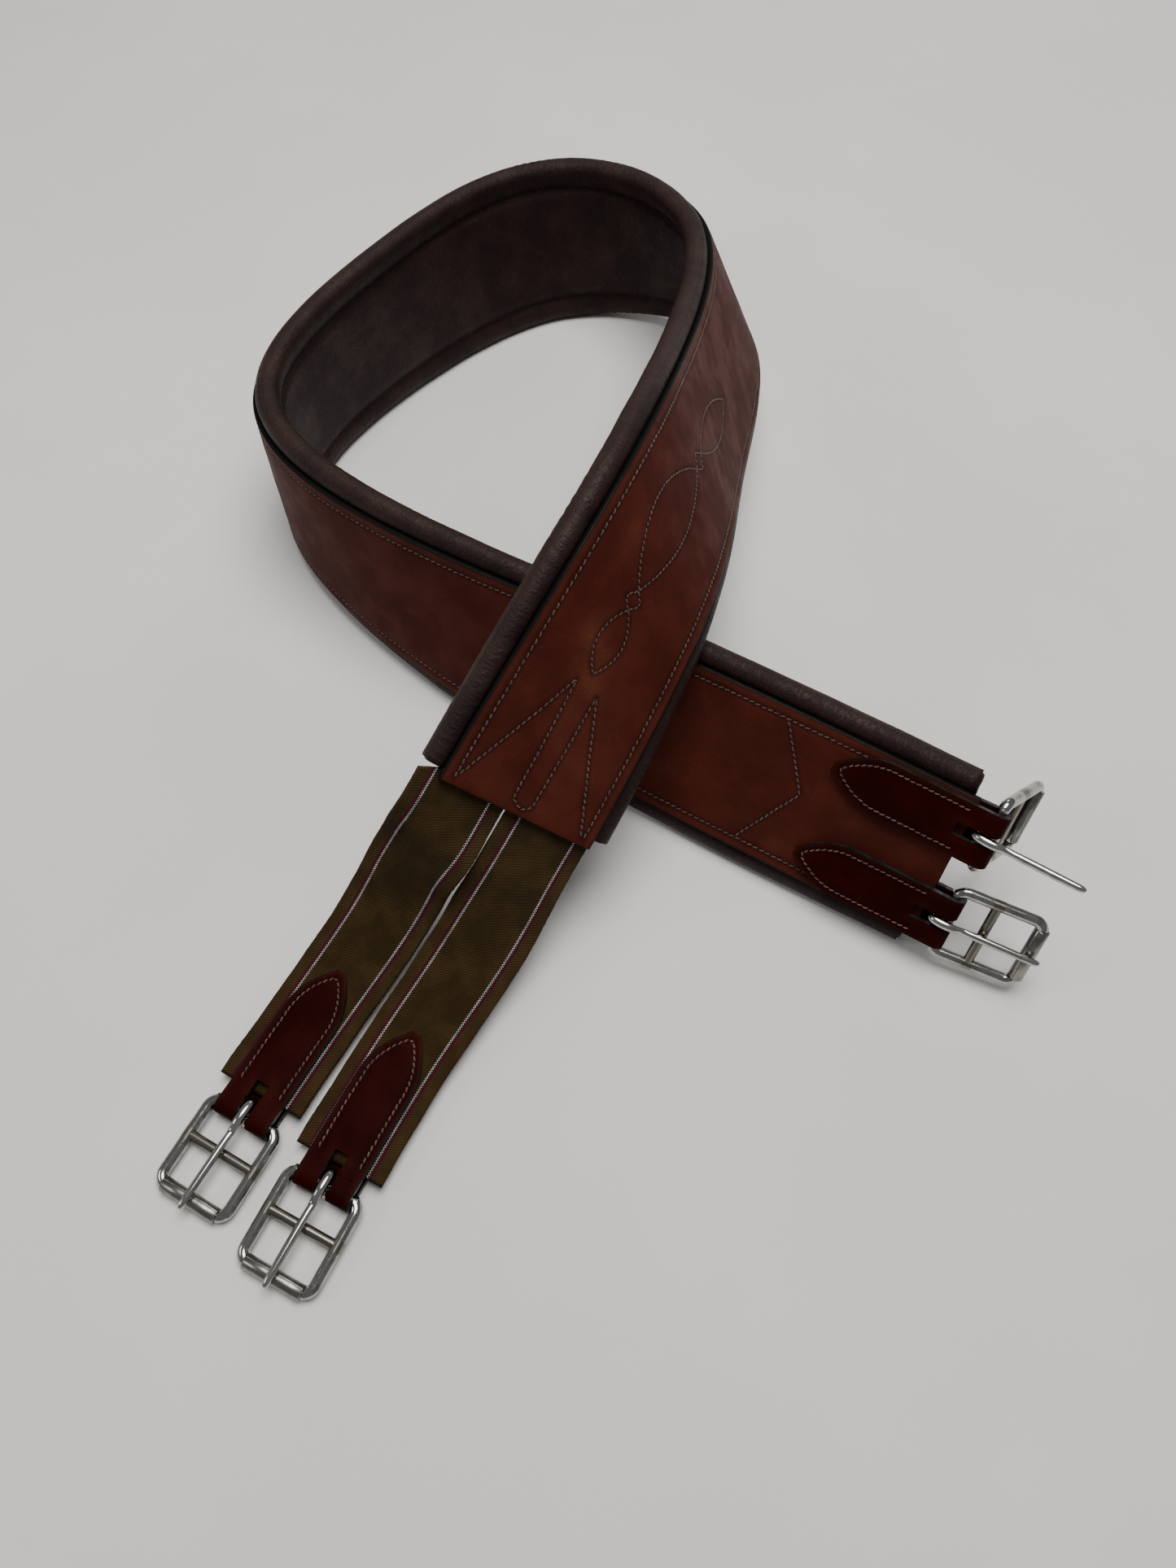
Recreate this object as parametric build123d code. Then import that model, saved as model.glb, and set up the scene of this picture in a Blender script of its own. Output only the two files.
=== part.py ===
from build123d import *
import math
import os

# Leather saddle girth with elastic at one end, laid down as a crossed loop.
# Millimetres, +Z up.  The floor is z = 0 and the origin is on it, under the middle of the
# whole girth's box.
#
# Every layer follows one ribbon.  Along the ribbon, T points from the elastic end to the plain
# end, W points across it to the edge that is uppermost in the loop, and N = T x W points out
# of the smooth leather face.  n = 0 is the underside of the outer leather.

# ---------------------------------------------------------------- driving sizes
LEATHER_T = 4.0          # outer leather, thickness
LEATHER_CORNER = 0.8     # bevelled edge of the leather
LAYER_GAP = 0.1          # glue line between two layers

WEB_EDGE = 10.0          # nylon web core stops this far inside the leather's edges
WEB_T = 1.5
PADDING_T = 7.3          # felt and foam padding
PADDING_EDGE = 4.0       # padding stops this far inside the leather's edges
LINING_T = 1.4           # soft lining leather
ROLL_PROUD = 0.5         # rolled edge of the lining stands this far above the leather's underside
ROLL_CLEAR = 0.78        # rolled edge to the leather's lower corner
ROLL_CORE_GAP = 0.15     # between the piping cord and the lining round it
PIPING_SIDES = 12        # the piping cord is drawn with this many flats
ROLL_HEM_DEG = 128.0     # how far the lining wraps round the piping
END_TURN = 5.0           # lining and padding stop this far short of the leather's ends

ELASTIC_EXTRA = 4.5      # each of the two elastics is this much wider than half the leather
ELASTIC_SPLIT = 4.5      # the line between them lies this far to the front of the middle
ELASTIC_EDGE = 0.5       # under the leather they are trimmed to this far inside its edge
ELASTIC_TRIM = 4.0       # and the trim is complete this far in from the leather's end
ELASTIC_T = 3.0
ELASTIC_SEAM = 0.5       # half the gap between the elastics where they leave the leather
ELASTIC_TUCK = 58.0      # length of elastic sewn under the leather

CHAPE_SIDE_GAP = 1.0     # leather fold that holds a buckle, to the buckle's side bars
CHAPE_EDGE = 2.0         # outer side of a plain-end chape to the edge of the outer leather
CHAPE_T = 3.0
CHAPE_LEG = 76.0         # from the buckle bar back to the tip of the point
CHAPE_POINT = 26.0       # length of the pointed end
CHAPE_TIP_W = 3.0        # width left at the very tip
CHAPE_ROUND = 0.8        # how full the curve of the point is: 1 follows a sine, less is fuller
CHAPE_POINT_MARKS = (0, 0.08, 0.2, 0.35, 0.55, 0.78, 1)    # sections along the point
CHAPE_LEG_MARKS = (0.33, 0.67, 1)                          # and along the straight part
CHAPE_CLEAR = 0.4        # between a chape and the strap end inside it
BUCKLE_GAP = 6.8         # between the two buckles of the plain end
BAR_OUT = 10.0           # buckle bar beyond the end of the strap it hangs on
SLOT_W = 6.6             # slot in the chape for the tongue
SLOT_DEPTH = 1.8         # and how far below the bar's centre, so the tongue can lie back
SLOT_END_GAP = 0.5       # between the tongue's eye and the end of the slot
SLOT_BACK = 15.0         # how far the slot runs back from the bar on the smooth side
FOLD_BACK = 18.0         # the flat fold block runs this far back from the bar
FOLD_LAP = 1.0           # and each leg laps it by this much

BUCKLE_IN_W = 30.0       # clear width between the side bars, for a 25 to 28 mm billet strap
WIRE_R = 2.8             # frame wire
BAR_R = 2.5              # chape bar
BUCKLE_L = 41.5          # chape bar to end bar, centre to centre
MID_X = 19.0             # chape bar to middle bar
MID_R = 2.4
CORNER_R = 5.0           # bend of the frame at its corners, on the wire's centre line
END_BAR_R = 2.2          # end bar inside the roller
RUN_FIT = 0.05           # radial running clearance of everything that turns
ROLLER_WALL = 1.35
ROLLER_END_GAP = 0.3     # roller to side bar, each end
TONGUE_R = 2.0
TONGUE_EYE_W = 5.6       # width of the tongue's eye in the slot
TONGUE_EYE_WALL = 2.7
TONGUE_OVER = 4.5        # tongue point beyond the end bar's centre
TONGUE_REST_GAP = 0.1    # tongue above the roller it rests on

# ---------------------------------------------------------------- sizes that follow from those
# The girth is as wide as it takes to carry two buckles side by side.
chape_w = BUCKLE_IN_W - 2 * CHAPE_SIDE_GAP
buckle_w = BUCKLE_IN_W + 4 * WIRE_R
chape_pitch = (buckle_w + BUCKLE_GAP) / 2    # from the girth's middle, at the plain end
leather_w = 2 * (chape_pitch + chape_w / 2 + CHAPE_EDGE)
web_w = leather_w - 2 * WEB_EDGE
padding_w = leather_w - 2 * PADDING_EDGE
elastic_w = leather_w / 2 + ELASTIC_EXTRA

# ---------------------------------------------------------------- how the girth lies
# Control points of the ribbon's middle line: x, y, the height of the leather's lower edge and
# the lean.  The height is given as the number of strap widths that lie underneath, and so many
# millimetres more.  Lean is the angle in degrees of W above the floor: 0 lies flat with the
# smooth face up, 90 stands on edge.
GIRTH_LAY = [
    (-35, 250, 0.55, 2.3, 40),
    (40, 350, 1.5, 2.5, 52),
    (65, 490, 0.5, 3.5, 66),
    (105, 640, 0.4, 1.1, 58),
    (-25, 715, 0, 5.4, 120),
    (-125, 610, 0, 11.1, 93),
    (-210, 490, 0, 8.1, 94),
    (-100, 385, 0, 11.9, 78),
    (30, 318, 0, 11.3, 48),
    (165, 235, 0, 11.5, 57),
]
GIRTH_ROUTE = [
    (x, y, under * leather_w + more + leather_w / 2 * math.sin(math.radians(lean)), lean)
    for x, y, under, more, lean in GIRTH_LAY
]
# The edge of each elastic that faces the other one, from the buckle bar up to the leather.  The
# last two points are worked out from the girth's own end.
ELASTIC_EDGES = {
    "front": [(-137, 120, 6, 0), (-111, 167, 6, 0), (-80, 209, 18, 7), (-66, 226, 39, 27)],
    "rear": [(-137, 110, 6, 0), (-108, 167, 6, 0), (-79.4, 207, 18, 7), (-64, 225, 39, 27)],
}
ELASTIC_LEAD = 28.0      # last stretch of elastic that still points straight at the leather
GIRTH_PITCH = 20.0       # distance between the sections of the girth's layers
ELASTIC_PITCH = 10.0     # the same along the elastics, which bend more sharply
FINE_STEPS = 40          # samples between two control points when a ribbon is measured

# Angle of each buckle at rest, in degrees: frame up from in line with its chape, and tongue up
# from the roller.
REST_ANGLES = {
    ("elastic", "front"): (-3.2, 0.0),
    ("elastic", "rear"): (-3.2, 0.0),
    ("plain", "front"): (-75.0, 75.0),
    ("plain", "rear"): (-10.0, 0.0),
}
SIDES = {"front": 1, "rear": -1}


# ---------------------------------------------------------------- the ribbon
def spline_at(points, u):
    """Uniform cubic B-spline through the ends of a list of points."""
    first = [2 * a - b for a, b in zip(points[0], points[1])]
    last = [2 * a - b for a, b in zip(points[-1], points[-2])]
    padded = [first] + list(points) + [last]
    i = min(int(u), len(points) - 2)
    t = u - i
    weights = (
        (1 - t) ** 3 / 6,
        (3 * t**3 - 6 * t**2 + 4) / 6,
        (-3 * t**3 + 3 * t**2 + 3 * t + 1) / 6,
        t**3 / 6,
    )
    return [sum(w * padded[i + k][j] for k, w in enumerate(weights)) for j in range(4)]


def way_across(before, after, lean):
    """W of a ribbon that runs from before to after and leans by an angle in degrees."""
    t = (after - before).normalized()
    level = Vector(0, 0, 1).cross(t).normalized()
    angle = math.radians(lean)
    return level * math.cos(angle) + t.cross(level) * math.sin(angle)


def beside(points, across):
    """Control points of a ribbon that runs beside another one, moved along W by across."""
    places = [Vector(*point[:3]) for point in points]
    moved = []
    for i, place in enumerate(places):
        before = places[max(i - 1, 0)]
        after = places[min(i + 1, len(places) - 1)]
        lean = points[i][3]
        moved.append((*(place + way_across(before, after, lean) * across), lean))
    return moved


class Ribbon:
    """A strap's middle line, measured along its length, with the way it leans."""

    def __init__(self, points, pitch):
        self.points = points
        self.pitch = pitch
        steps = FINE_STEPS * (len(points) - 1)
        self.u = [k / FINE_STEPS for k in range(steps + 1)]
        places = [Vector(*spline_at(points, u)[:3]) for u in self.u]
        self.s = [0.0]
        for a, b in zip(places, places[1:]):
            self.s.append(self.s[-1] + (b - a).length)
        self.length = self.s[-1]

    def u_at(self, s):
        for k in range(1, len(self.s)):
            if self.s[k] >= s:
                part = (s - self.s[k - 1]) / (self.s[k] - self.s[k - 1])
                return self.u[k - 1] + part * (self.u[k] - self.u[k - 1])
        return self.u[-1]

    def plane(self, s, across=0.0, out=0.0):
        """Section plane at distance s: x is W, y is N and z is T.  Past an end it runs straight on."""
        inside = min(max(s, 0.0), self.length)
        u = self.u_at(inside)
        step = 0.5 / FINE_STEPS
        before = Vector(*spline_at(self.points, max(u - step, 0.0))[:3])
        after = Vector(*spline_at(self.points, min(u + step, len(self.points) - 1.0))[:3])
        t = (after - before).normalized()
        x, y, z, lean = spline_at(self.points, u)
        w = way_across(before, after, lean)
        n = t.cross(w)
        origin = Vector(x, y, z) + t * (s - inside) + w * across + n * out
        return Plane(origin=origin, x_dir=w, z_dir=t)

    def stations(self, start, stop):
        """Start, stop and the ribbon's own even marks between them, shared by all its layers."""
        nearest = 0.3 * self.pitch
        count = int(self.length / self.pitch)
        marks = [k * self.pitch for k in range(count + 1)]
        return [start] + [m for m in marks if start + nearest < m < stop - nearest] + [stop]

    def layer(self, start, stop, section, across=0.0, out=0.0):
        """Solid with one section all the way from start to stop."""
        planes = [self.plane(s, across, out) for s in self.stations(start, stop)]
        return loft([plane * section for plane in planes], ruled=True)


def slab(width, low, high, bevel=0.0):
    """Section of a strap: width across, from low to high out of the leather face."""
    if bevel == 0.0:
        return Pos(0, (low + high) / 2) * Rectangle(width, high - low)
    h = width / 2
    corners = [
        (-h + bevel, low), (h - bevel, low), (h, low + bevel), (h, high - bevel),
        (h - bevel, high), (-h + bevel, high), (-h, high - bevel), (-h, low + bevel),
    ]
    return make_face(Polyline(*corners, close=True))


girth = Ribbon(GIRTH_ROUTE, GIRTH_PITCH)
LENGTH = girth.length

# ---------------------------------------------------------------- the strap's layers
web_top = -LAYER_GAP
web_low = web_top - WEB_T
padding_low = web_low - LAYER_GAP - PADDING_T
lining_top = padding_low - LAYER_GAP
lining_low = lining_top - LINING_T
roll_r = (ROLL_PROUD - lining_low) / 2
roll_n = lining_low + roll_r
roll_out = math.sqrt((roll_r + ROLL_CLEAR) ** 2 - roll_n**2)
roll_w = leather_w / 2 - LEATHER_CORNER + roll_out
core_r = roll_r - LINING_T - ROLL_CORE_GAP
elastic_mid = -LAYER_GAP - ELASTIC_T / 2
bar_n = LEATHER_T / 2                       # a plain-end chape grips the leather's two faces
lower_leg_low = -CHAPE_CLEAR - CHAPE_T


def on_roll(radius, degrees, side=1):
    a = math.radians(degrees)
    return (side * (roll_w + radius * math.cos(a)), roll_n + radius * math.sin(a))


def lining_section():
    """Lining sheet that wraps up round the piping at both edges and ends under the leather."""
    inner_r = roll_r - LINING_T
    half_way = (ROLL_HEM_DEG - 90) / 2
    edges = [Line(on_roll(roll_r, -90, -1), on_roll(roll_r, -90))]
    edges.append(Line(on_roll(inner_r, -90), on_roll(inner_r, -90, -1)))
    for side in (1, -1):
        for radius in (roll_r, inner_r):
            ends = [on_roll(radius, d, side) for d in (-90, half_way, ROLL_HEM_DEG)]
            edges.append(ThreePointArc(*ends))
        edges.append(Line(on_roll(roll_r, ROLL_HEM_DEG, side), on_roll(inner_r, ROLL_HEM_DEG, side)))
    return make_face(edges)


parts = {}
parts["outer_leather"] = girth.layer(0, LENGTH, slab(leather_w, 0, LEATHER_T, LEATHER_CORNER))
parts["lining_leather"] = girth.layer(END_TURN, LENGTH - END_TURN, lining_section())
for edge, side in SIDES.items():
    parts["edge_piping_" + edge] = girth.layer(
        END_TURN, LENGTH - END_TURN, RegularPolygon(core_r, PIPING_SIDES), side * roll_w, roll_n)

web_start = ELASTIC_TUCK + LAYER_GAP
web_stop = LENGTH - CHAPE_LEG - LAYER_GAP
parts["web_core"] = girth.layer(web_start, web_stop, slab(web_w, web_low, web_top))

# Padding: a thick middle piece, and a thinner piece at each end where the elastics and the lower
# legs of the chapes take up room.
elastic_low = -LAYER_GAP - ELASTIC_T
parts["padding"] = Compound(children=[
    girth.layer(END_TURN, web_start, slab(padding_w, padding_low, elastic_low - LAYER_GAP)),
    girth.layer(web_start + LAYER_GAP, web_stop - LAYER_GAP,
                slab(padding_w, padding_low, web_low - LAYER_GAP)),
    girth.layer(web_stop, LENGTH - END_TURN,
                slab(padding_w, padding_low, lower_leg_low - LAYER_GAP)),
])

# ---------------------------------------------------------------- the elastics
elastics = {}
for name, side in SIDES.items():
    inner = ELASTIC_SPLIT + side * ELASTIC_SEAM
    offset = inner + side * elastic_w / 2
    tuck_edge = min(side * inner + elastic_w, leather_w / 2 - ELASTIC_EDGE)
    tuck_w = tuck_edge - side * inner
    tuck_offset = inner + side * tuck_w / 2
    lean = GIRTH_ROUTE[0][3]
    tails = []
    for across in (inner, offset):
        mouth = girth.plane(0, across, elastic_mid)
        lead = mouth.origin - mouth.z_dir * ELASTIC_LEAD
        tails.append([(*lead, lean), (*mouth.origin, lean)])
    middle = beside(ELASTIC_EDGES[name] + tails[0], side * elastic_w / 2)
    route = Ribbon(middle[:-2] + tails[1], ELASTIC_PITCH)
    elastics[name] = route
    section = slab(elastic_w, -ELASTIC_T / 2, ELASTIC_T / 2)
    sections = [route.plane(s) * section for s in route.stations(BAR_OUT, route.length)]
    section = slab(tuck_w, -ELASTIC_T / 2, ELASTIC_T / 2)
    for s in girth.stations(ELASTIC_TRIM, ELASTIC_TUCK):
        sections.append(girth.plane(s, tuck_offset, elastic_mid) * section)
    parts["elastic_" + name] = loft(sections, ruled=True)


# ---------------------------------------------------------------- chapes
def chape_width(back):
    """Width of a chape's leg at a distance in from its tip."""
    if back >= CHAPE_POINT:
        return chape_w
    fullness = math.sin(math.pi / 2 * back / CHAPE_POINT) ** CHAPE_ROUND
    return CHAPE_TIP_W + (chape_w - CHAPE_TIP_W) * fullness


def chape_leg(plane_at, low, high):
    """One leg of a chape.  plane_at gives the section plane at a distance in from its tip."""
    backs = [CHAPE_POINT * mark for mark in CHAPE_POINT_MARKS]
    straight = CHAPE_LEG - FOLD_BACK + FOLD_LAP - CHAPE_POINT
    backs += [CHAPE_POINT + straight * mark for mark in CHAPE_LEG_MARKS]
    sections = [plane_at(back) * slab(chape_width(back), low, high) for back in backs]
    return loft(sections, ruled=True)


def chape(bar, plane_at, half_gap):
    """Folded leather: two pointed legs, and a fold round the buckle bar.

    bar has its origin on the bar's axis, x away from the strap and z out of the smooth face.
    half_gap is half of what lies between the legs.
    """
    bore_r = BAR_R + RUN_FIT
    outer = half_gap + CHAPE_T
    fold_r = bore_r + CHAPE_T
    fold = Circle(fold_r) + Pos(-FOLD_BACK / 2, 0) * Rectangle(FOLD_BACK, 2 * outer)
    fold = make_hull(fold.edges())
    fold -= Circle(bore_r)
    fold -= Pos(CHAPE_CLEAR - BAR_OUT - FOLD_BACK / 2, 0) * Rectangle(FOLD_BACK, 2 * half_gap)
    slot_in = bore_r + TONGUE_EYE_WALL + SLOT_END_GAP
    slot_out = 2 * fold_r
    block = extrude(Plane.XZ * fold, chape_w / 2, both=True)
    block -= Pos((slot_out - slot_in) / 2, 0, 0) * Box(slot_out + slot_in, SLOT_W, 4 * fold_r)
    slot_deep = outer + SLOT_DEPTH
    block -= Pos(-SLOT_BACK / 2, 0, slot_deep / 2 - SLOT_DEPTH) * Box(SLOT_BACK, SLOT_W, slot_deep + 1)
    body = bar.location * block
    for low, high in ((half_gap, outer), (-outer, -half_gap)):
        body += chape_leg(plane_at, low, high)
    return body


# ---------------------------------------------------------------- buckles
def buckle_frame():
    """Wire frame with its chape bar at the origin, the end bar at +X and a middle bar."""
    side_y = BUCKLE_IN_W / 2 + WIRE_R
    outline = Pos(BUCKLE_L / 2, 0) * RectangleRounded(BUCKLE_L, 2 * side_y, CORNER_R)
    frame = sweep(Plane((BUCKLE_L / 2, side_y, 0), z_dir=(1, 0, 0)) * Circle(WIRE_R),
                  path=outline.wire())
    for x in (0, BUCKLE_L):
        frame -= Pos(x, 0, 0) * Box(4 * WIRE_R, BUCKLE_IN_W, 4 * WIRE_R)
    bars = ((0, BAR_R), (MID_X, MID_R), (BUCKLE_L, END_BAR_R))
    for x, radius in bars:
        frame += Pos(x, 0, 0) * Rot(90, 0, 0) * Cylinder(radius, BUCKLE_IN_W + WIRE_R)
    return frame


def buckle_roller():
    inner = END_BAR_R + RUN_FIT
    tube = Cylinder(inner + ROLLER_WALL, BUCKLE_IN_W - 2 * ROLLER_END_GAP)
    tube -= Cylinder(inner, BUCKLE_IN_W)
    return Pos(BUCKLE_L, 0, 0) * Rot(90, 0, 0) * tube


def buckle_tongue():
    """Eye round the chape bar and a round shank that rises to lie on top of the roller."""
    bore = BAR_R + RUN_FIT
    eye_r = bore + TONGUE_EYE_WALL
    roller_r = END_BAR_R + RUN_FIT + ROLLER_WALL
    start = (0, eye_r - TONGUE_R)
    over_roller = (BUCKLE_L, roller_r + TONGUE_REST_GAP + TONGUE_R)
    rise = math.degrees(math.atan2(over_roller[1] - start[1], over_roller[0] - start[0]))
    length = math.hypot(BUCKLE_L + TONGUE_OVER, over_roller[1] - start[1])
    shank = Rot(0, 90, 0) * Cylinder(TONGUE_R, length, align=(Align.CENTER, Align.CENTER, Align.MIN))
    shank += Pos(length, 0, 0) * Sphere(TONGUE_R)
    eye = Rot(90, 0, 0) * Cylinder(eye_r, TONGUE_EYE_W)
    eye_top = Pos(eye_r, 0, start[1]) * Box(2 * eye_r, TONGUE_EYE_W, 2 * TONGUE_R)
    tongue = Pos(start[0], 0, start[1]) * Rot(0, -rise, 0) * shank + eye
    return tongue - Rot(90, 0, 0) * Cylinder(bore, 2 * TONGUE_EYE_W)


frame_shape = buckle_frame()
roller_shape = buckle_roller()
tongue_shape = buckle_tongue()
bars = {}

for name, side in SIDES.items():
    route = elastics[name]
    here = route.plane(0)
    bars["elastic", name] = Plane(here.origin, x_dir=-here.z_dir, z_dir=here.y_dir)
    parts["chape_elastic_" + name] = chape(
        bars["elastic", name], lambda back, r=route: r.plane(CHAPE_LEG - back),
        ELASTIC_T / 2 + CHAPE_CLEAR)

    across = side * chape_pitch
    here = girth.plane(LENGTH + BAR_OUT, across, bar_n)
    bars["plain", name] = Plane(here.origin, x_dir=here.z_dir, z_dir=here.y_dir)
    parts["chape_plain_" + name] = chape(
        bars["plain", name],
        lambda back, a=across: girth.plane(LENGTH + BAR_OUT - CHAPE_LEG + back, a, bar_n),
        LEATHER_T / 2 + CHAPE_CLEAR)

for (end, name), bar in bars.items():
    frame_up, tongue_up = REST_ANGLES[end, name]
    place = bar.location * Rot(0, -frame_up, 0)
    label = "_" + end + "_" + name
    parts["buckle_frame" + label] = place * frame_shape
    parts["buckle_roller" + label] = place * roller_shape
    parts["buckle_tongue" + label] = place * Rot(0, -tongue_up, 0) * tongue_shape

# ---------------------------------------------------------------- origin, files and report
box = Compound(children=[Compound(p.solids()) for p in parts.values()]).bounding_box()
shift = Vector(-(box.min.X + box.max.X) / 2, -(box.min.Y + box.max.Y) / 2, -box.min.Z)
os.makedirs("parts", exist_ok=True)
for node, shape in parts.items():
    export_step(Pos(shift) * Compound(shape.solids()), f"parts/{node}.step")

print("girth length", round(LENGTH, 1), "route shift", [round(v, 2) for v in shift])
for (end, name), bar in bars.items():
    at = bar.origin + shift
    frame_up = REST_ANGLES[end, name][0]
    outward = (bar.location * Rot(0, -frame_up, 0) * Pos(BUCKLE_L, 0, 0)).position + shift
    print(end, name, "bar", [round(v, 3) for v in at],
          "end bar", [round(v, 3) for v in outward],
          "axis", [round(v, 5) for v in bar.y_dir],
          "out", [round(v, 5) for v in bar.x_dir])
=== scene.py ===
# %% [markdown]
# # A padded leather girth, laid down in a loop
# This lesson builds the looks of a saddle girth round its finished mechanical model. The model
# fixes where every part is. What is made here is what the eye sees: skins of leather, a quilted
# lining, woven elastic, thread and bright metal. Each chapter is one piece or one finish.

import math

import bpy
import numpy as np
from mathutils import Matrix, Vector
from mathutils.kdtree import KDTree


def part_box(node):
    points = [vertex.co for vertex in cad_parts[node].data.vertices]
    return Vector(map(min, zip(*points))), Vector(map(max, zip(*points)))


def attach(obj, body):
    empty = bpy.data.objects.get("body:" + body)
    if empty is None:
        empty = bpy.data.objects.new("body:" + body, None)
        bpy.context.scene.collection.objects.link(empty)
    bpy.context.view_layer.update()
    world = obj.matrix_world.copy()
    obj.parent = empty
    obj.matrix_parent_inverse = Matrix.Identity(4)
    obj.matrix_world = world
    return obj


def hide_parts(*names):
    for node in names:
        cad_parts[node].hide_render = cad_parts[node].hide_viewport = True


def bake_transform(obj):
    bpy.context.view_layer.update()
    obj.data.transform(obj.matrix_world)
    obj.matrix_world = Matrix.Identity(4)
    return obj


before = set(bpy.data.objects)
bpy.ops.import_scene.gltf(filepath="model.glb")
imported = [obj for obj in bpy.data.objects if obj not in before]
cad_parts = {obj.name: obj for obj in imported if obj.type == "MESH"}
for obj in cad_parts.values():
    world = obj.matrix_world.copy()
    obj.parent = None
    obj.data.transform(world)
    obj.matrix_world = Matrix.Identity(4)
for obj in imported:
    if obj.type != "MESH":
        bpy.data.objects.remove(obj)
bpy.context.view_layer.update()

# %% [markdown]
# ## The camera
# A tall view from half a metre above the floor, looking steeply down. The lens and the tilt are set
# first, so that every later choice can be judged from the same place.

# %% Place the camera
MM = 0.001                                   # sizes below are millimetres, Blender has metres
CAMERA_AT = Vector((-14.5, -373.7, 544.9)) * MM
CAMERA_DOWN = 60.94                          # degrees below level
CAMERA_YAW = -0.12
LENS = 27.09                                 # for 36 mm along the picture's longer side

camera_data = bpy.data.cameras.new("camera")
camera_data.sensor_fit = "VERTICAL"
camera_data.sensor_height = 36.0
camera_data.lens = LENS
camera_data.clip_start = 0.01
camera = bpy.data.objects.new("camera", camera_data)
camera.location = CAMERA_AT
camera.rotation_euler = (math.radians(90 - CAMERA_DOWN), 0, math.radians(CAMERA_YAW))
bpy.context.scene.collection.objects.link(camera)
bpy.context.scene.camera = camera
print("camera height", round(CAMERA_AT.z, 3), "m")

# %% [markdown]
# ## A strap in numbers
# Every layer of the girth follows one ribbon. If the ribbon's middle line and its three
# directions are known, a point can be given the way a saddler would give it: so far along the
# strap, so far across, so far out of the smooth face. All pieces below are modelled in those
# flat coordinates and are bent into place by one function, so that they can't drift apart.

# %% The ribbon
def spline_at(points, u):
    """Uniform cubic B-spline through the ends of a list of points, at many values of u."""
    p = np.array(points, float)
    padded = np.vstack([2 * p[0] - p[1], p, 2 * p[-1] - p[-2]])
    i = np.minimum(u.astype(int), len(p) - 2)
    t = (u - i)[:, None]
    return (
        (1 - t) ** 3 / 6 * padded[i]
        + (3 * t**3 - 6 * t**2 + 4) / 6 * padded[i + 1]
        + (-3 * t**3 + 3 * t**2 + 3 * t + 1) / 6 * padded[i + 2]
        + t**3 / 6 * padded[i + 3]
    )


def unit(rows):
    return rows / np.linalg.norm(rows, axis=-1, keepdims=True)


class Strap:
    """Middle line and directions of a strap: W across, N out of the smooth face, T along."""

    def __init__(self, s, middle, across, out):
        self.s, self.middle, self.across, self.out = s, middle, across, out
        self.along = np.cross(across, out)
        self.length = s[-1]

    @classmethod
    def through(cls, points, steps=80):
        """points are x, y, z and lean, the angle of W above the floor in degrees."""
        u = np.linspace(0, len(points) - 1, steps * (len(points) - 1) + 1)
        rows = spline_at(points, u)
        middle = rows[:, :3]
        along = unit(np.gradient(middle, axis=0))
        level = unit(np.cross([0.0, 0.0, 1.0], along))
        lean = np.radians(rows[:, 3:])
        across = level * np.cos(lean) + np.cross(along, level) * np.sin(lean)
        steps_s = np.linalg.norm(np.diff(middle, axis=0), axis=1)
        return cls(np.concatenate([[0], np.cumsum(steps_s)]), middle, across, np.cross(along, across))

    def _pick(self, rows, s):
        return np.stack([np.interp(s, self.s, rows[:, k]) for k in range(3)], axis=-1)

    def at(self, s, w=0.0, n=0.0):
        """Points s along, w across and n out. Past an end the strap runs straight on."""
        s, w, n = np.broadcast_arrays(np.asarray(s, float), np.asarray(w, float), np.asarray(n, float))
        held = np.clip(s, self.s[0], self.s[-1])
        points = self._pick(self.middle, held) + self._pick(self.along, held) * (s - held)[..., None]
        points = points + unit(self._pick(self.across, held)) * w[..., None]
        return points + unit(self._pick(self.out, held)) * n[..., None]

    def bend(self, s):
        """How sharply the strap bends towards its lining side, in 1/mm."""
        turn = np.gradient(self.along, self.s, axis=0)
        inward = -np.sum(turn * self.out, axis=1)
        return np.interp(s, self.s, inward)


# %% The girth's own sizes, as in the mechanical model
LEATHER_W, LEATHER_T, LEATHER_CORNER = 80.0, 4.0, 0.8
GIRTH_LAY = [                                # x, y, straps underneath and mm more, lean
    (-35, 250, 0.55, 2.3, 40),
    (40, 350, 1.5, 2.5, 52),
    (65, 490, 0.5, 3.5, 66),
    (105, 640, 0.4, 1.1, 58),
    (-25, 715, 0, 5.4, 120),
    (-125, 610, 0, 11.1, 93),
    (-210, 490, 0, 8.1, 94),
    (-100, 385, 0, 11.9, 78),
    (30, 318, 0, 11.3, 48),
    (165, 235, 0, 11.5, 57),
]
GIRTH_ROUTE = [
    (x, y, under * LEATHER_W + more + LEATHER_W / 2 * math.sin(math.radians(lean)), lean)
    for x, y, under, more, lean in GIRTH_LAY
]
ELASTIC_EDGES = {                            # the edges of the two elastics that face each other
    "front": [(-137, 120, 6, 0), (-111, 167, 6, 0), (-80, 209, 18, 7), (-66, 226, 39, 27)],
    "rear": [(-137, 110, 6, 0), (-108, 167, 6, 0), (-79.4, 207, 18, 7), (-64, 225, 39, 27)],
}
ELASTIC_LEAD = 28.0
SIDES = {"front": 1, "rear": -1}
LAYER_GAP = 0.1
LINING_LOW = -10.5                           # face of the lining, below the leather's underside
ROLL_R, ROLL_OUT, ROLL_HEM_DEG = 5.5, 3.0, 128.0
END_TURN = 5.0
ELASTIC_W, ELASTIC_T, ELASTIC_SEAM, ELASTIC_TUCK = 44.5, 3.0, 0.5, 58.0
ELASTIC_SPLIT, ELASTIC_EDGE, ELASTIC_TRIM = 4.5, 0.5, 4.0
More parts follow.
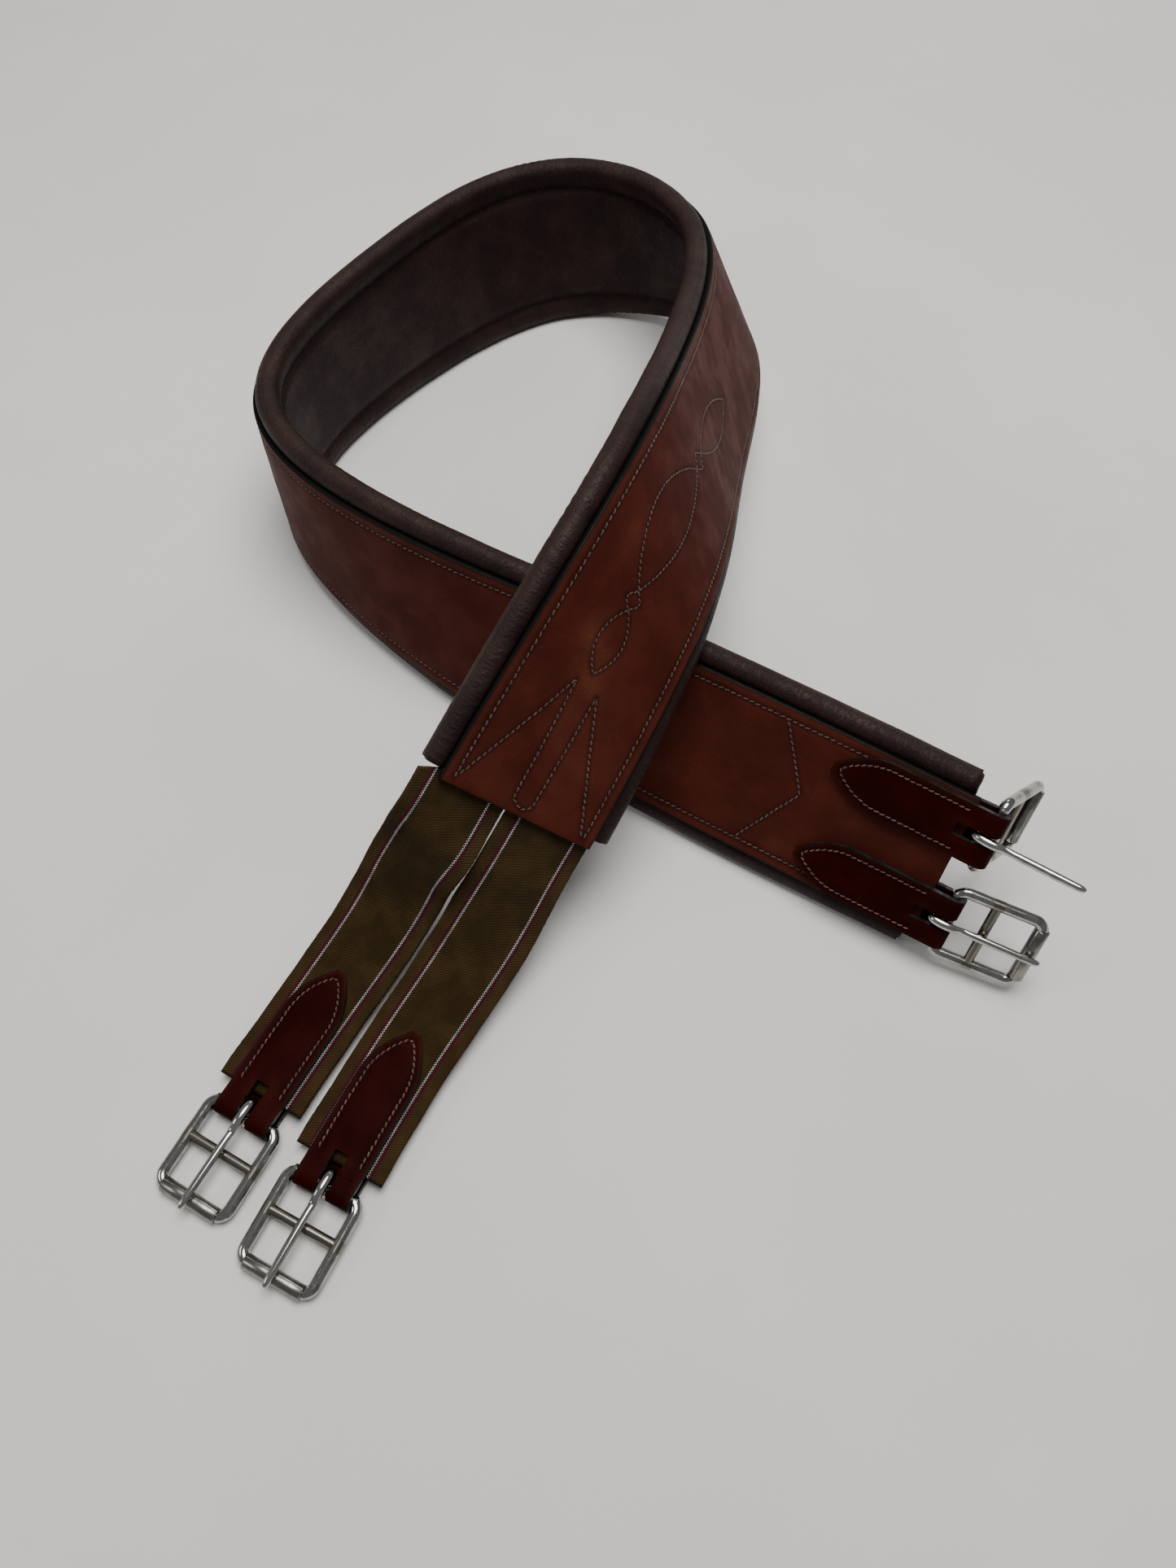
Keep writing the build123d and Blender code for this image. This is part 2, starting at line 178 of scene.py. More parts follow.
CHAPE_W, CHAPE_T, CHAPE_LEG, CHAPE_POINT, CHAPE_TIP_W = 28.0, 3.0, 76.0, 26.0, 3.0
CHAPE_CLEAR, CHAPE_PITCH, BAR_OUT = 0.4, 24.0, 10.0
SLOT_W, SLOT_BACK = 6.6, 15.0
BAR_R, BUCKLE_L, MID_X, BUCKLE_IN_W, RUN_FIT = 2.5, 41.5, 19.0, 30.0, 0.05
ROLLER_IN, ROLLER_WALL, ROLLER_END_GAP = 2.25, 1.35, 0.3
REST_ANGLES = {                              # frame up from its chape, tongue up from the roller
    ("elastic", "front"): (-3.2, 0.0),
    ("elastic", "rear"): (-3.2, 0.0),
    ("plain", "front"): (-75.0, 75.0),
    ("plain", "rear"): (-10.0, 0.0),
}

girth = Strap.through(GIRTH_ROUTE)
roll_w = LEATHER_W / 2 + ROLL_OUT
roll_n = LINING_LOW + ROLL_R

# The route is drawn in its own coordinates. One shift, found from the leather's box in the
# model, takes every point of it into the model's frame.
marks = np.append(np.arange(0, girth.length - 6, 20.0), girth.length)
half, bevel = LEATHER_W / 2, LEATHER_CORNER
corner_w = np.array([-half, -half, half, half, bevel - half, bevel - half, half - bevel, half - bevel])
corner_n = np.array([bevel, LEATHER_T - bevel, bevel, LEATHER_T - bevel, 0, LEATHER_T, 0, LEATHER_T])
outline = girth.at(marks[:, None], corner_w, corner_n).reshape(-1, 3)
SHIFT = np.array(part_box("outer_leather")[0]) / MM - outline.min(0)
left_over = np.array(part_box("outer_leather")[1]) / MM - outline.max(0) - SHIFT
print("girth", round(girth.length, 1), "mm, shift", SHIFT.round(2), "left over", left_over.round(2))

# %% The two elastics and the four buckles
def beside(points, across):
    """Control points of a strap that runs beside another one, moved sideways by across."""
    p = np.array(points, float)
    index = np.arange(len(p))
    before, after = p[np.maximum(index - 1, 0), :3], p[np.minimum(index + 1, len(p) - 1), :3]
    along = unit(after - before)
    level = unit(np.cross([0.0, 0.0, 1.0], along))
    lean = np.radians(p[:, 3:])
    way = level * np.cos(lean) + np.cross(along, level) * np.sin(lean)
    return [tuple(row) for row in np.hstack([p[:, :3] + way * across, p[:, 3:]])]


def elastic_strap(side):
    """From the buckle's bar up to the leather's mouth, then on under the leather."""
    inner = ELASTIC_SPLIT + SIDES[side] * ELASTIC_SEAM
    offset = inner + SIDES[side] * ELASTIC_W / 2
    middle_n = -LAYER_GAP - ELASTIC_T / 2
    lean = GIRTH_ROUTE[0][3]
    tails = []
    for across in (inner, offset):
        mouth = girth.at(0.0, across, middle_n)
        tails.append([(*(mouth - girth.along[0] * ELASTIC_LEAD), lean), (*mouth, lean)])
    middle = beside(ELASTIC_EDGES[side] + tails[0], SIDES[side] * ELASTIC_W / 2)
    free = Strap.through(middle[:-2] + tails[1])
    tucked = np.linspace(1, ELASTIC_TUCK, 30)
    rows = girth._pick(girth.across, tucked), girth._pick(girth.out, tucked)
    whole = Strap(
        np.concatenate([free.s, free.length + tucked]),
        np.vstack([free.middle, girth.at(tucked, offset, middle_n)]),
        np.vstack([free.across, unit(rows[0])]),
        np.vstack([free.out, unit(rows[1])]),
    )
    return whole, free.length


elastics = {side: elastic_strap(side) for side in SIDES}


def chape_place(end, side):
    """Gives the function that puts chape coordinates in place: x out from the buckle's bar,
    y across and z out of the smooth face."""
    if end == "elastic":
        strap = elastics[side][0]
        return lambda x, y, z: strap.at(-np.asarray(x, float), -np.asarray(y, float), z)
    across = SIDES[side] * CHAPE_PITCH
    return lambda x, y, z: girth.at(
        girth.length + BAR_OUT + np.asarray(x, float), across + np.asarray(y, float),
        LEATHER_T / 2 + np.asarray(z, float))


def turned_place(end, side, up):
    """Buckle coordinates: as the chape's, but turned up about the bar by an angle in degrees."""
    place = chape_place(end, side)
    zero = place(0.0, 0.0, 0.0)
    out, axis, face = (place(*d) - zero for d in ((1.0, 0, 0), (0, 1.0, 0), (0, 0, 1.0)))
    c, s = math.cos(math.radians(up)), math.sin(math.radians(up))
    x_dir, z_dir = out * c + face * s, face * c - out * s

    def at(x, y, z):
        x, y, z = np.broadcast_arrays(*(np.asarray(v, float) for v in (x, y, z)))
        return zero + x[..., None] * x_dir + y[..., None] * axis + z[..., None] * z_dir
    return at


BUCKLES = [(end, side) for end in ("elastic", "plain") for side in SIDES]
BODY_OF_END = {"elastic": "elastic_end_", "plain": "girth"}
print("elastics", {side: round(strap.length, 1) for side, (strap, _) in elastics.items()})


# %% [markdown]
# ## Making meshes from rings
# Straps, rolls and tubes are all rows of points joined to the next row. One helper turns such
# rows into a mesh, and can carry values for the material on every point: where the point is on
# the strap, whether it is on a painted edge, how near it is to a seam.

# %% Mesh helpers
FLOOR_CLEAR = 0.02                           # no point is laid lower than this above the floor


def add_mesh(name, points, faces, values=None, materials=(), face_materials=None):
    """A smooth mesh object. points are in the route's own millimetres. The floor limits the
    points only: a skin that a modifier adds later may reach a little lower."""
    mesh = bpy.data.meshes.new(name)
    placed = points + SHIFT
    placed[:, 2] = np.maximum(placed[:, 2], FLOOR_CLEAR)
    mesh.from_pydata((placed * MM).tolist(), [], [list(map(int, f)) for f in faces])
    for key, rows in (values or {}).items():
        rows = np.asarray(rows, np.float32)
        kind = "FLOAT_VECTOR" if rows.ndim == 2 else "FLOAT"
        layer = mesh.attributes.new(key, kind, "POINT")
        layer.data.foreach_set("vector" if rows.ndim == 2 else "value", rows.ravel())
    for material in materials:
        mesh.materials.append(material)
    if face_materials is not None:
        mesh.polygons.foreach_set("material_index", np.asarray(face_materials, np.int32))
    mesh.polygons.foreach_set("use_smooth", np.ones(len(mesh.polygons), bool))
    mesh.update()
    piece = bpy.data.objects.new(name, mesh)
    bpy.context.scene.collection.objects.link(piece)
    return piece


def grid_faces(rows, columns, closed=False, keep=None):
    """Faces between neighbouring rows of points. closed joins each row's end to its start."""
    faces = []
    for i in range(rows - 1):
        for j in range(columns if closed else columns - 1):
            if keep is not None and not keep(i, j):
                continue
            k = (j + 1) % columns
            faces.append((i * columns + j, i * columns + k, (i + 1) * columns + k, (i + 1) * columns + j))
    return faces


def with_caps(faces, rows, columns):
    """Closes both ends of a tube of rings."""
    last = (rows - 1) * columns
    return faces + [tuple(range(columns))[::-1], tuple(range(last, last + columns))]


def waves(seed, size, x, y=0.0):
    """A slow, even unrest between about -1 and 1, the same on each run."""
    random = np.random.default_rng(seed)
    total = 0.0
    for k in range(6):
        angle = random.uniform(0, math.tau)
        pace = random.uniform(0.6, 1.7) * math.tau / size
        total = total + np.sin(pace * (x * math.cos(angle) + y * math.sin(angle)) + random.uniform(0, 6))
    return total / 3.5


# %% [markdown]
# ## Finishes
# Leather, cloth and metal need the same few effects at different strengths: pores, slow colour
# changes, a twill. Each effect is one node group, built once, that puts out only heights and
# masks. The shader stays in the material, where plain numbers sit on its own sockets.

# %% A short way to write node trees
class Tree:
    def __init__(self, tree):
        self.tree = tree
        tree.nodes.clear()

    def feed(self, socket, value):
        if isinstance(value, bpy.types.NodeSocket):
            self.tree.links.new(value, socket)
        else:
            socket.default_value = value

    def node(self, kind, sockets=None, **settings):
        made = self.tree.nodes.new(kind)
        for key, value in settings.items():
            setattr(made, key, value)
        for key, value in (sockets or {}).items():
            self.feed(made.inputs[key], value)
        return made

    def math(self, operation, *values):
        made = self.node("ShaderNodeMath", operation=operation)
        for socket, value in zip(made.inputs, values):
            self.feed(socket, value)
        return made.outputs[0]

    def span(self, value, low, high, to_low=0.0, to_high=1.0):
        """Smooth step from low to high."""
        made = self.node("ShaderNodeMapRange", interpolation_type="SMOOTHSTEP")
        for key, number in zip(made.inputs, (value, low, high, to_low, to_high)):
            self.feed(key, number)
        return made.outputs[0]

    def mix(self, share, a, b):
        made = self.node("ShaderNodeMix", data_type="RGBA")
        for index, value in ((0, share), (6, a), (7, b)):
            self.feed(made.inputs[index], value)
        return made.outputs[2]

    def noise(self, vector, scale, detail=3.0, rough=0.55):
        made = self.node("ShaderNodeTexNoise", {"Vector": vector, "Scale": scale, "Detail": detail,
                                                "Roughness": rough})
        return made.outputs[0]

    def scaled(self, vector, x, y, z):
        made = self.node("ShaderNodeMapping", {"Vector": vector, "Scale": (x, y, z)})
        return made.outputs[0]


def new_group(name, inputs, outputs):
    """A node group with float inputs given as name: default, a vector first, and float outputs."""
    group = bpy.data.node_groups.new(name, "ShaderNodeTree")
    tree = Tree(group)
    group.interface.new_socket(name="Vector", in_out="INPUT", socket_type="NodeSocketVector")
    for key, value in inputs.items():
        socket = group.interface.new_socket(name=key, in_out="INPUT", socket_type="NodeSocketFloat")
        socket.default_value = value
    for key in outputs:
        group.interface.new_socket(name=key, in_out="OUTPUT", socket_type="NodeSocketFloat")
    entry = tree.node("NodeGroupInput")
    leave = tree.node("NodeGroupOutput")
    return group, tree, entry.outputs, leave.inputs


def use_group(tree, group, vector, **values):
    made = tree.node("ShaderNodeGroup", node_tree=group)
    tree.feed(made.inputs["Vector"], vector)
    for key, value in values.items():
        tree.feed(made.inputs[key.replace("_", " ")], value)
    return made.outputs


# %% Shared effects
pores, tree, given, put = new_group("leather_grain", {"Pore Size": 0.7, "Crease": 0.3}, ["Height", "Pores"])
size = tree.math("DIVIDE", 1.0, given["Pore Size"])
cells = tree.node("ShaderNodeTexVoronoi", {"Vector": given["Vector"], "Scale": size}, feature="F1")
soft = tree.noise(given["Vector"], size, 4.0, 0.6)
fine = tree.math("SUBTRACT", 1.0, tree.span(cells.outputs["Distance"], 0.15, 0.75))
crease = tree.noise(tree.scaled(given["Vector"], 0.55, 0.16, 0.3), 1.0, 4.0, 0.6)
crease = tree.math("MULTIPLY", tree.span(crease, 0.42, 0.6), given["Crease"])
height = tree.math("MULTIPLY_ADD", fine, -0.35, tree.math("MULTIPLY", soft, 0.5))
tree.feed(put["Height"], tree.math("ADD", height, crease))
tree.feed(put["Pores"], fine)

mottle, tree, given, put = new_group("slow_mottle", {"Patch": 26.0, "Fleck": 2.2}, ["Patches", "Flecks"])
patch = tree.noise(given["Vector"], tree.math("DIVIDE", 1.0, given["Patch"]), 4.0, 0.6)
fleck = tree.noise(given["Vector"], tree.math("DIVIDE", 1.0, given["Fleck"]), 3.0, 0.7)
tree.feed(put["Patches"], tree.span(patch, 0.38, 0.66))
tree.feed(put["Flecks"], tree.span(fleck, 0.5, 0.72))

twill, tree, given, put = new_group("twill_weave", {"Thread": 0.55, "Slant": 0.45}, ["Height", "Gaps"])
place = tree.node("ShaderNodeSeparateXYZ", {"Vector": given["Vector"]})
pace = tree.math("DIVIDE", math.tau, given["Thread"])
slanted = tree.math("MULTIPLY_ADD", place.outputs[1], given["Slant"], place.outputs[0])
weft = tree.math("SINE", tree.math("MULTIPLY", slanted, pace))
warp = tree.math("SINE", tree.math("MULTIPLY", place.outputs[1], tree.math("MULTIPLY", pace, 0.8)))
bumps = tree.math("MULTIPLY_ADD", warp, 0.35, weft)
tree.feed(put["Height"], bumps)
tree.feed(put["Gaps"], tree.span(bumps, -0.2, -1.1))

rubbed, tree, given, put = new_group("fine_scratches", {"Spacing": 1.2}, ["Scratches", "Smears"])
lines = tree.noise(tree.scaled(given["Vector"], 0.15, 2.2, 1.1),
                   tree.math("DIVIDE", 2.0, given["Spacing"]), 5, 0.7)
smear = tree.noise(given["Vector"], tree.math("DIVIDE", 0.25, given["Spacing"]), 3.0, 0.6)
tree.feed(put["Scratches"], tree.span(lines, 0.56, 0.7))
tree.feed(put["Smears"], tree.span(smear, 0.42, 0.68))
print("shared effects", [g.name for g in bpy.data.node_groups])


# %% [markdown]
# ## Leather
# Bridle leather is dyed through and waxed. The dye is thin where the strap has been bent and
# handled, so the colour turns from mahogany to orange-brown there. The stitched grooves get painted
# shade, a darker colour where shade falls. The cut edges are painted black and burnished. The
# strap's own coordinates drive the grain, so that it follows every bend.

# %% Leather materials
def start_material(name, **plain):
    """A material with one Principled shader whose plain numbers are set on its own sockets."""
    material = bpy.data.materials.new(name)
    material.use_nodes = True
    tree = Tree(material.node_tree)
    shader = tree.node("ShaderNodeBsdfPrincipled")
    output = tree.node("ShaderNodeOutputMaterial")
    tree.feed(output.inputs[0], shader.outputs[0])
    for key, value in plain.items():
        shader.inputs[key.replace("_", " ")].default_value = value
    return material, tree, shader


def attribute(tree, name, output="Fac"):
    return tree.node("ShaderNodeAttribute", attribute_name=name).outputs[output]


def bump(tree, shader, height, distance_mm, strength=1.0):
    made = tree.node("ShaderNodeBump", {"Height": height, "Distance": distance_mm * MM,
                                        "Strength": strength})
    tree.feed(shader.inputs["Normal"], made.outputs[0])


def object_mm(tree):
    """The object's own coordinates, in millimetres."""
    place = tree.node("ShaderNodeTexCoord").outputs["Object"]
    scale = tree.node("ShaderNodeVectorMath", {0: place}, operation="SCALE")
    scale.inputs["Scale"].default_value = 1 / MM
    return scale.outputs[0]


def dyed_leather(name, deep, body, worn, edge=(0.006, 0.0065, 0.006, 1), rough=0.4, coat=0.12,
                 pore=0.75, crease=0.25, depth=0.1, worn_rough=0.52, shine=0.2, attributes=True):
    material, tree, shader = start_material(name, Coat_Weight=coat, Coat_Roughness=0.3,
                                            Specular_IOR_Level=shine)
    place = attribute(tree, "strap", "Vector") if attributes else object_mm(tree)
    grain = use_group(tree, pores, place, Pore_Size=pore, Crease=crease)
    slow = use_group(tree, mottle, place)
    colour = tree.mix(slow["Patches"], deep, body)
    finish = tree.span(slow["Patches"], 0, 1, rough + 0.05, rough - 0.04)
    relief = grain["Height"]
    if attributes:
        thin_dye = tree.math("MULTIPLY", attribute(tree, "worn"),
                             tree.span(slow["Flecks"], 0, 1, 0.75, 1.0))
        colour = tree.mix(thin_dye, colour, worn)
        finish = tree.math("ADD", finish, tree.math("MULTIPLY", thin_dye, worn_rough - rough))
        # Painted shade: the seam mask darkens the colour in stitched grooves and seam dips.
        colour = tree.mix(attribute(tree, "seam"), colour, tuple(c * 0.35 for c in deep[:3]) + (1,))
    colour = tree.mix(tree.math("MULTIPLY", grain["Pores"], 0.22), colour,
                      tuple(c * 0.4 for c in deep[:3]) + (1,))
    if attributes:
        painted = attribute(tree, "edge")
        colour = tree.mix(painted, colour, edge)
        finish = tree.math("ADD", finish, tree.math("MULTIPLY", painted, 0.3 - rough))
    tree.feed(shader.inputs["Base Color"], colour)
    tree.feed(shader.inputs["Roughness"], finish)
    bump(tree, shader, relief, depth)
    return material


outer_finish = dyed_leather(
    "mahogany_bridle_leather", (0.05, 0.0098, 0.0062, 1), (0.07, 0.014, 0.0092, 1),
    (0.14, 0.042, 0.022, 1), rough=0.52, coat=0.0, worn_rough=0.62, shine=0.05)
chape_finish = dyed_leather(
    "oxblood_chape_leather", (0.017, 0.0015, 0.0011, 1), (0.026, 0.0022, 0.0017, 1),
    (0.075, 0.018, 0.01, 1), rough=0.48, coat=0.0, pore=0.6, crease=0.1, shine=0.02)
lining_finish = dyed_leather(
    "soft_lining_leather", (0.014, 0.0056, 0.0056, 1), (0.026, 0.0112, 0.0095, 1),
    (0.05, 0.029, 0.023, 1), rough=0.5, coat=0.0, pore=0.95, crease=0.9, depth=0.24, shine=0.17)


def edge_paint():
    material, tree, shader = start_material("black_edge_paint", Roughness=0.42, Specular_IOR_Level=0.3)
    slow = use_group(tree, mottle, object_mm(tree), Patch=9.0, Fleck=0.9)
    colour = tree.mix(slow["Patches"], (0.005, 0.0055, 0.005, 1), (0.02, 0.019, 0.016, 1))
    tree.feed(shader.inputs["Base Color"], tree.mix(slow["Flecks"], colour, (0.028, 0.022, 0.018, 1)))
    bump(tree, shader, slow["Flecks"], 0.08)
    return material


edge_finish = edge_paint()
print("leathers", outer_finish.name, chape_finish.name, lining_finish.name)

# %% [markdown]
# ## Seams, before the leather
# The seam lines come before the leather, because the leather sinks along them. Three kinds show
# on the smooth face: a row along each edge, a double chevron with a vine of three leaves at the
# elastic end, and a pointed row that holds the web at the plain end.

# %% Seam lines in strap coordinates
EDGE_ROW = 34.2                              # row of stitches, from the middle


def leaf(start, tip, spread, bulge=0.0, steps=14):
    """Both sides of a pointed leaf, as (s, w) points."""
    t = np.linspace(0, 1, steps)
    start, tip = np.array(start, float), np.array(tip, float)
    across = np.array([-(tip - start)[1], (tip - start)[0]]) / np.linalg.norm(tip - start)
    fat = np.sin(np.pi * t) ** 0.85
    middle = start + (tip - start) * t[:, None] + across * (bulge * np.sin(np.pi * t))[:, None]
    return [middle + across * (side * spread * fat)[:, None] for side in (1, -1)]


def knot(near, far, half):
    """The little diamond where the two threads of the vine change sides."""
    near, far = np.array(near, float), np.array(far, float)
    middle = (near + far) / 2
    across = np.array([-(far - near)[1], (far - near)[0]]) / np.linalg.norm(far - near)
    return [np.array([near, middle + across * side * half, far]) for side in (1, -1)]


vine = (
    leaf((71.4, 2.6), (103.2, 3.0), 7.0) + knot((103.2, 3.0), (112.8, 3.2), 4.9)
    + leaf((112.8, 3.2), (194.0, 3.0), 12.4, 2.2) + knot((194.0, 3.0), (208.5, 4.2), 4.8)
    + leaf((208.5, 4.2), (284.0, -1.0), 9.4)
)
chevrons = [
    np.array([(6, 33), (67, 8), (6.5, 5.5)]),
    np.array([(6.5, 5.5), (3.2, -0.5), (6.0, -4.5), (64, -4.8), (4, -32.5)]),
]
web_row = [np.array([(1030, 33.5), (1154, 33.5), (1173, 2), (1152, -33.5), (1030, -33.5)])]
edge_rows = [np.array([(3.5, side * EDGE_ROW), (girth.length - 3.5, side * EDGE_ROW)]) for side in (1, -1)]


def resample(line, pitch):
    """Points evenly spaced along a line of points."""
    line = np.asarray(line, float)
    steps = np.linalg.norm(np.diff(line, axis=0), axis=1)
    far = np.concatenate([[0], np.cumsum(steps)])
    count = max(2, round(far[-1] / pitch) + 1)
    return np.stack([np.interp(np.linspace(0, far[-1], count), far, line[:, k]) for k in (0, 1)], -1)


seams = edge_rows + vine + chevrons + [web_row[0][1:4]]
seam_points = np.vstack([resample(line, 0.8) for line in seams])
seam_tree = KDTree(len(seam_points))
for k, (s, w) in enumerate(seam_points):
    seam_tree.insert((s, w, 0), k)
seam_tree.balance()
print("seam lines", len(seams), "with", len(seam_points), "marks")


# %% [markdown]
# ## The smooth outer leather
# One long strip, 80 mm wide and 4 mm thick. A plain extrusion would look like plastic, so the
# rings are close where it is stitched, the face is a little crowned and uneven, the stitching
# pulls it in, and the long edges are rounded over before they turn black.

# %% Build the outer leather
FACE_HALF, FACE_POINTS, UNDER_POINTS = 38.7, 63, 9


def leather_rows():
    """Distances of the rings: fine where the strap is stitched in a pattern, coarser between."""
    end = girth.length
    edge = np.array([0.0, 0.15, 0.45, 0.9])
    rows = [edge, np.arange(2.0, 290, 1.2), np.arange(290, 1140, 4.0), np.arange(1141, end - 1.5, 1.3)]
    return np.concatenate(rows + [end - edge[::-1]])


def leather_profile():
    """w, n and kind of each point round the section: 0 face, 1 painted edge, 2 underside."""
    face_w = np.linspace(-FACE_HALF, FACE_HALF, FACE_POINTS)
    turn = [(39.25, 3.93), (39.65, 3.66), (39.92, 3.2), (40.0, 2.4), (40.0, 1.4), (39.8, 0.5), (39.2, 0.08)]
    under = np.linspace(38.0, -38.0, UNDER_POINTS)
    w = np.concatenate([face_w, [p[0] for p in turn], under, [-p[0] for p in turn[::-1]]])
    turn_n = [p[1] for p in turn]
    n = np.concatenate([np.full(FACE_POINTS, LEATHER_T), turn_n, np.zeros(UNDER_POINTS), turn_n[::-1]])
    painted = [0.75] + [1.0] * 6
    edge = np.concatenate([np.zeros(FACE_POINTS), painted, np.full(UNDER_POINTS, 0.5), painted[::-1]])
    return w, n, edge


rows_s = leather_rows()
ring_w, ring_n, ring_edge = leather_profile()
S, W = np.meshgrid(rows_s, ring_w, indexing="ij")
N = np.broadcast_to(ring_n, S.shape).copy()
on_face = np.broadcast_to(ring_n > 3.99, S.shape)
nearest = np.full(S.shape, 9.0)
for i, j in zip(*np.nonzero(on_face)):
    nearest[i, j] = seam_tree.find((S[i, j], W[i, j], 0))[2]
groove = np.exp(-((nearest / 1.15) ** 2))
unrest = 0.22 * waves(3, 60, S, W) + 0.08 * waves(4, 17, S, W)
crown = 0.25 * (1 - (W / 40) ** 2)
N += np.where(on_face, unrest * (1 - (np.abs(W) / 40) ** 4) + crown - 0.42 * groove, 0.0)
to_end = np.minimum(S, girth.length - S)
rounding = 0.55 * np.clip(1 - to_end / 0.9, 0, 1) ** 2
N = N + np.where(N > 2, -rounding, rounding)
W_in = W * (1 - rounding / 55)

WORN_SPOTS = [                               # s, w, reach along, reach across, strength
    (66, 2, 20, 10, 0.5), (36, -14, 22, 14, 0.3), (88, 12, 10, 7, 0.4), (20, 22, 16, 10, 0.14),
    (52, 26, 14, 8, 0.14), (128, 20, 10, 6, 0.2), (8, 0, 5, 38, 0.22), (120, -12, 26, 12, 0.08),
    (1090, -16, 60, 14, 0.1), (1130, 10, 34, 16, 0.1), (1168, -26, 24, 8, 0.22), (1010, 0, 60, 30, 0.05),
    (1200, 4, 20, 6, 0.1), (640, 0, 80, 24, 0.1), (860, 20, 60, 16, 0.1),
]
worn = np.zeros(S.shape)
for s0, w0, ds, dw, strength in WORN_SPOTS:
    worn = worn + strength * np.exp(-((S - s0) / ds) ** 2 - ((W - w0) / dw) ** 2)
worn = np.clip(worn * (1 + 0.5 * waves(5, 22, S, W)), 0, 0.9)
rim = np.exp(-((np.abs(W) - 38.6) / 1.5) ** 2) * on_face * 0.28
edge = np.maximum(np.broadcast_to(ring_edge, S.shape), 0.55 * np.clip(1 - to_end / 0.5, 0, 1))
paint_on_face = np.clip((np.abs(W) - 38.2) / 1.1, 0, 1) * 0.7
edge = np.where(on_face, np.maximum(edge * (to_end < 0.6), paint_on_face), edge)

points = girth.at(S, W_in, N).reshape(-1, 3)
# The seam value is painted shade along the sunken stitch grooves.
values = {
    "strap": np.stack([S, W, N], -1).reshape(-1, 3), "edge": edge.ravel(),
    "worn": np.clip(worn + rim, 0, 1).ravel(), "seam": (0.8 * groove * on_face).ravel(),
}
faces = grid_faces(len(rows_s), len(ring_w), closed=True)
outer = add_mesh("smooth_outer_leather", points, with_caps(faces, len(rows_s), len(ring_w)),
                 values, [outer_finish])
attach(outer, "girth")
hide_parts("outer_leather")
print(outer.name, len(points), "points")


# %% [markdown]
# ## Thread
# A stitch is a short, plump piece of twisted thread that rises out of one hole and dives into
# the next, lying slightly across the seam. Each one is modelled, because light catches thread
# far more than it catches a painted line.

# %% Stitch maker
def thread_material(name, dark, light, rough=0.7, sheen=0.3):
    material, tree, shader = start_material(name, Roughness=rough, Sheen_Weight=sheen)
    slow = use_group(tree, mottle, object_mm(tree), Patch=7.0, Fleck=0.5)
    tree.feed(shader.inputs["Base Color"], tree.mix(slow["Patches"], dark, light))
    bump(tree, shader, slow["Flecks"], 0.12)
    return material


brown_thread = thread_material("waxed_brown_thread", (0.04, 0.016, 0.011, 1), (0.09, 0.042, 0.03, 1))
rust_thread = thread_material("rust_chape_thread", (0.075, 0.018, 0.012, 1), (0.17, 0.06, 0.038, 1))
SIDES_OF_THREAD = 6
RINGS_OF_STITCH = 7


def stitches(name, place, lines, material, lift, pitch=3.1, radius=0.42, slant=0.28, seed=1):
    """Stitches along lines of (a, b) points. place(a, b, lift) puts a point on the surface."""
    random = np.random.default_rng(seed)
    starts, ends = [], []
    for line in lines:
        marks = resample(line, pitch)
        along = unit(np.diff(marks, axis=0))
        aside = np.stack([-along[:, 1], along[:, 0]], -1)
        jitter = random.normal(0, 0.06, (len(along), 2))
        starts.append(marks[:-1] + along * 0.18 * pitch / 2 - aside * slant + jitter)
        ends.append(marks[1:] - along * 0.18 * pitch / 2 + aside * slant + jitter)
    starts, ends = np.vstack(starts), np.vstack(ends)
    t = np.linspace(0, 1, RINGS_OF_STITCH)[None, :]
    a = starts[:, :1] + (ends - starts)[:, :1] * t
    b = starts[:, 1:] + (ends - starts)[:, 1:] * t
    arch = 1 - (2 * t - 1) ** 2
    lifts = lift + (arch * 1.0 - 0.55) * radius * (1 + 0.2 * random.normal(0, 1, (len(a), 1)))
    middle = place(a, b, lifts)
    out = unit(place(a, b, lifts + 0.5) - middle)
    forward = unit(np.gradient(middle, axis=1))
    aside = unit(np.cross(out, forward))
    thick = radius * (0.45 + 0.55 * arch**0.5)
    angle = np.linspace(0, math.tau, SIDES_OF_THREAD, endpoint=False)
    ring = (aside[:, :, None] * np.cos(angle)[None, None, :, None]
            + out[:, :, None] * 0.85 * np.sin(angle)[None, None, :, None])
    points = middle[:, :, None] + ring * thick[..., None, None]
    one = grid_faces(RINGS_OF_STITCH, SIDES_OF_THREAD, closed=True)
    one = with_caps(one, RINGS_OF_STITCH, SIDES_OF_THREAD)
    each = RINGS_OF_STITCH * SIDES_OF_THREAD
    faces = [tuple(v + k * each for v in f) for k in range(len(points)) for f in one]
    return add_mesh(name, points.reshape(-1, 3), faces, None, [material])


def face_height(s, w):
    """Height of the outer leather's face, without the groove."""
    near_middle = 1 - (np.minimum(np.abs(w), 40) / 40) ** 4
    return LEATHER_T + (0.22 * waves(3, 60, s, w) + 0.08 * waves(4, 17, s, w)) * near_middle \
        + 0.25 * (1 - (w / 40) ** 2)


def on_leather(s, w, lift):
    return girth.at(s, w, face_height(s, w) + lift)


sewn = [
    stitches("stitches_edge_rows", on_leather, edge_rows, brown_thread, -0.3, pitch=3.3),
    stitches("stitches_chevrons", on_leather, chevrons, brown_thread, -0.3, seed=2),
    stitches("stitches_vine", on_leather, vine, brown_thread, -0.3, pitch=2.7, radius=0.38, seed=3),
    stitches("stitches_web_row", on_leather, [web_row[0][1:4]], brown_thread, -0.3, seed=4),
]
for piece in sewn:
    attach(piece, "girth")
print("stitch pieces", [piece.name for piece in sewn])

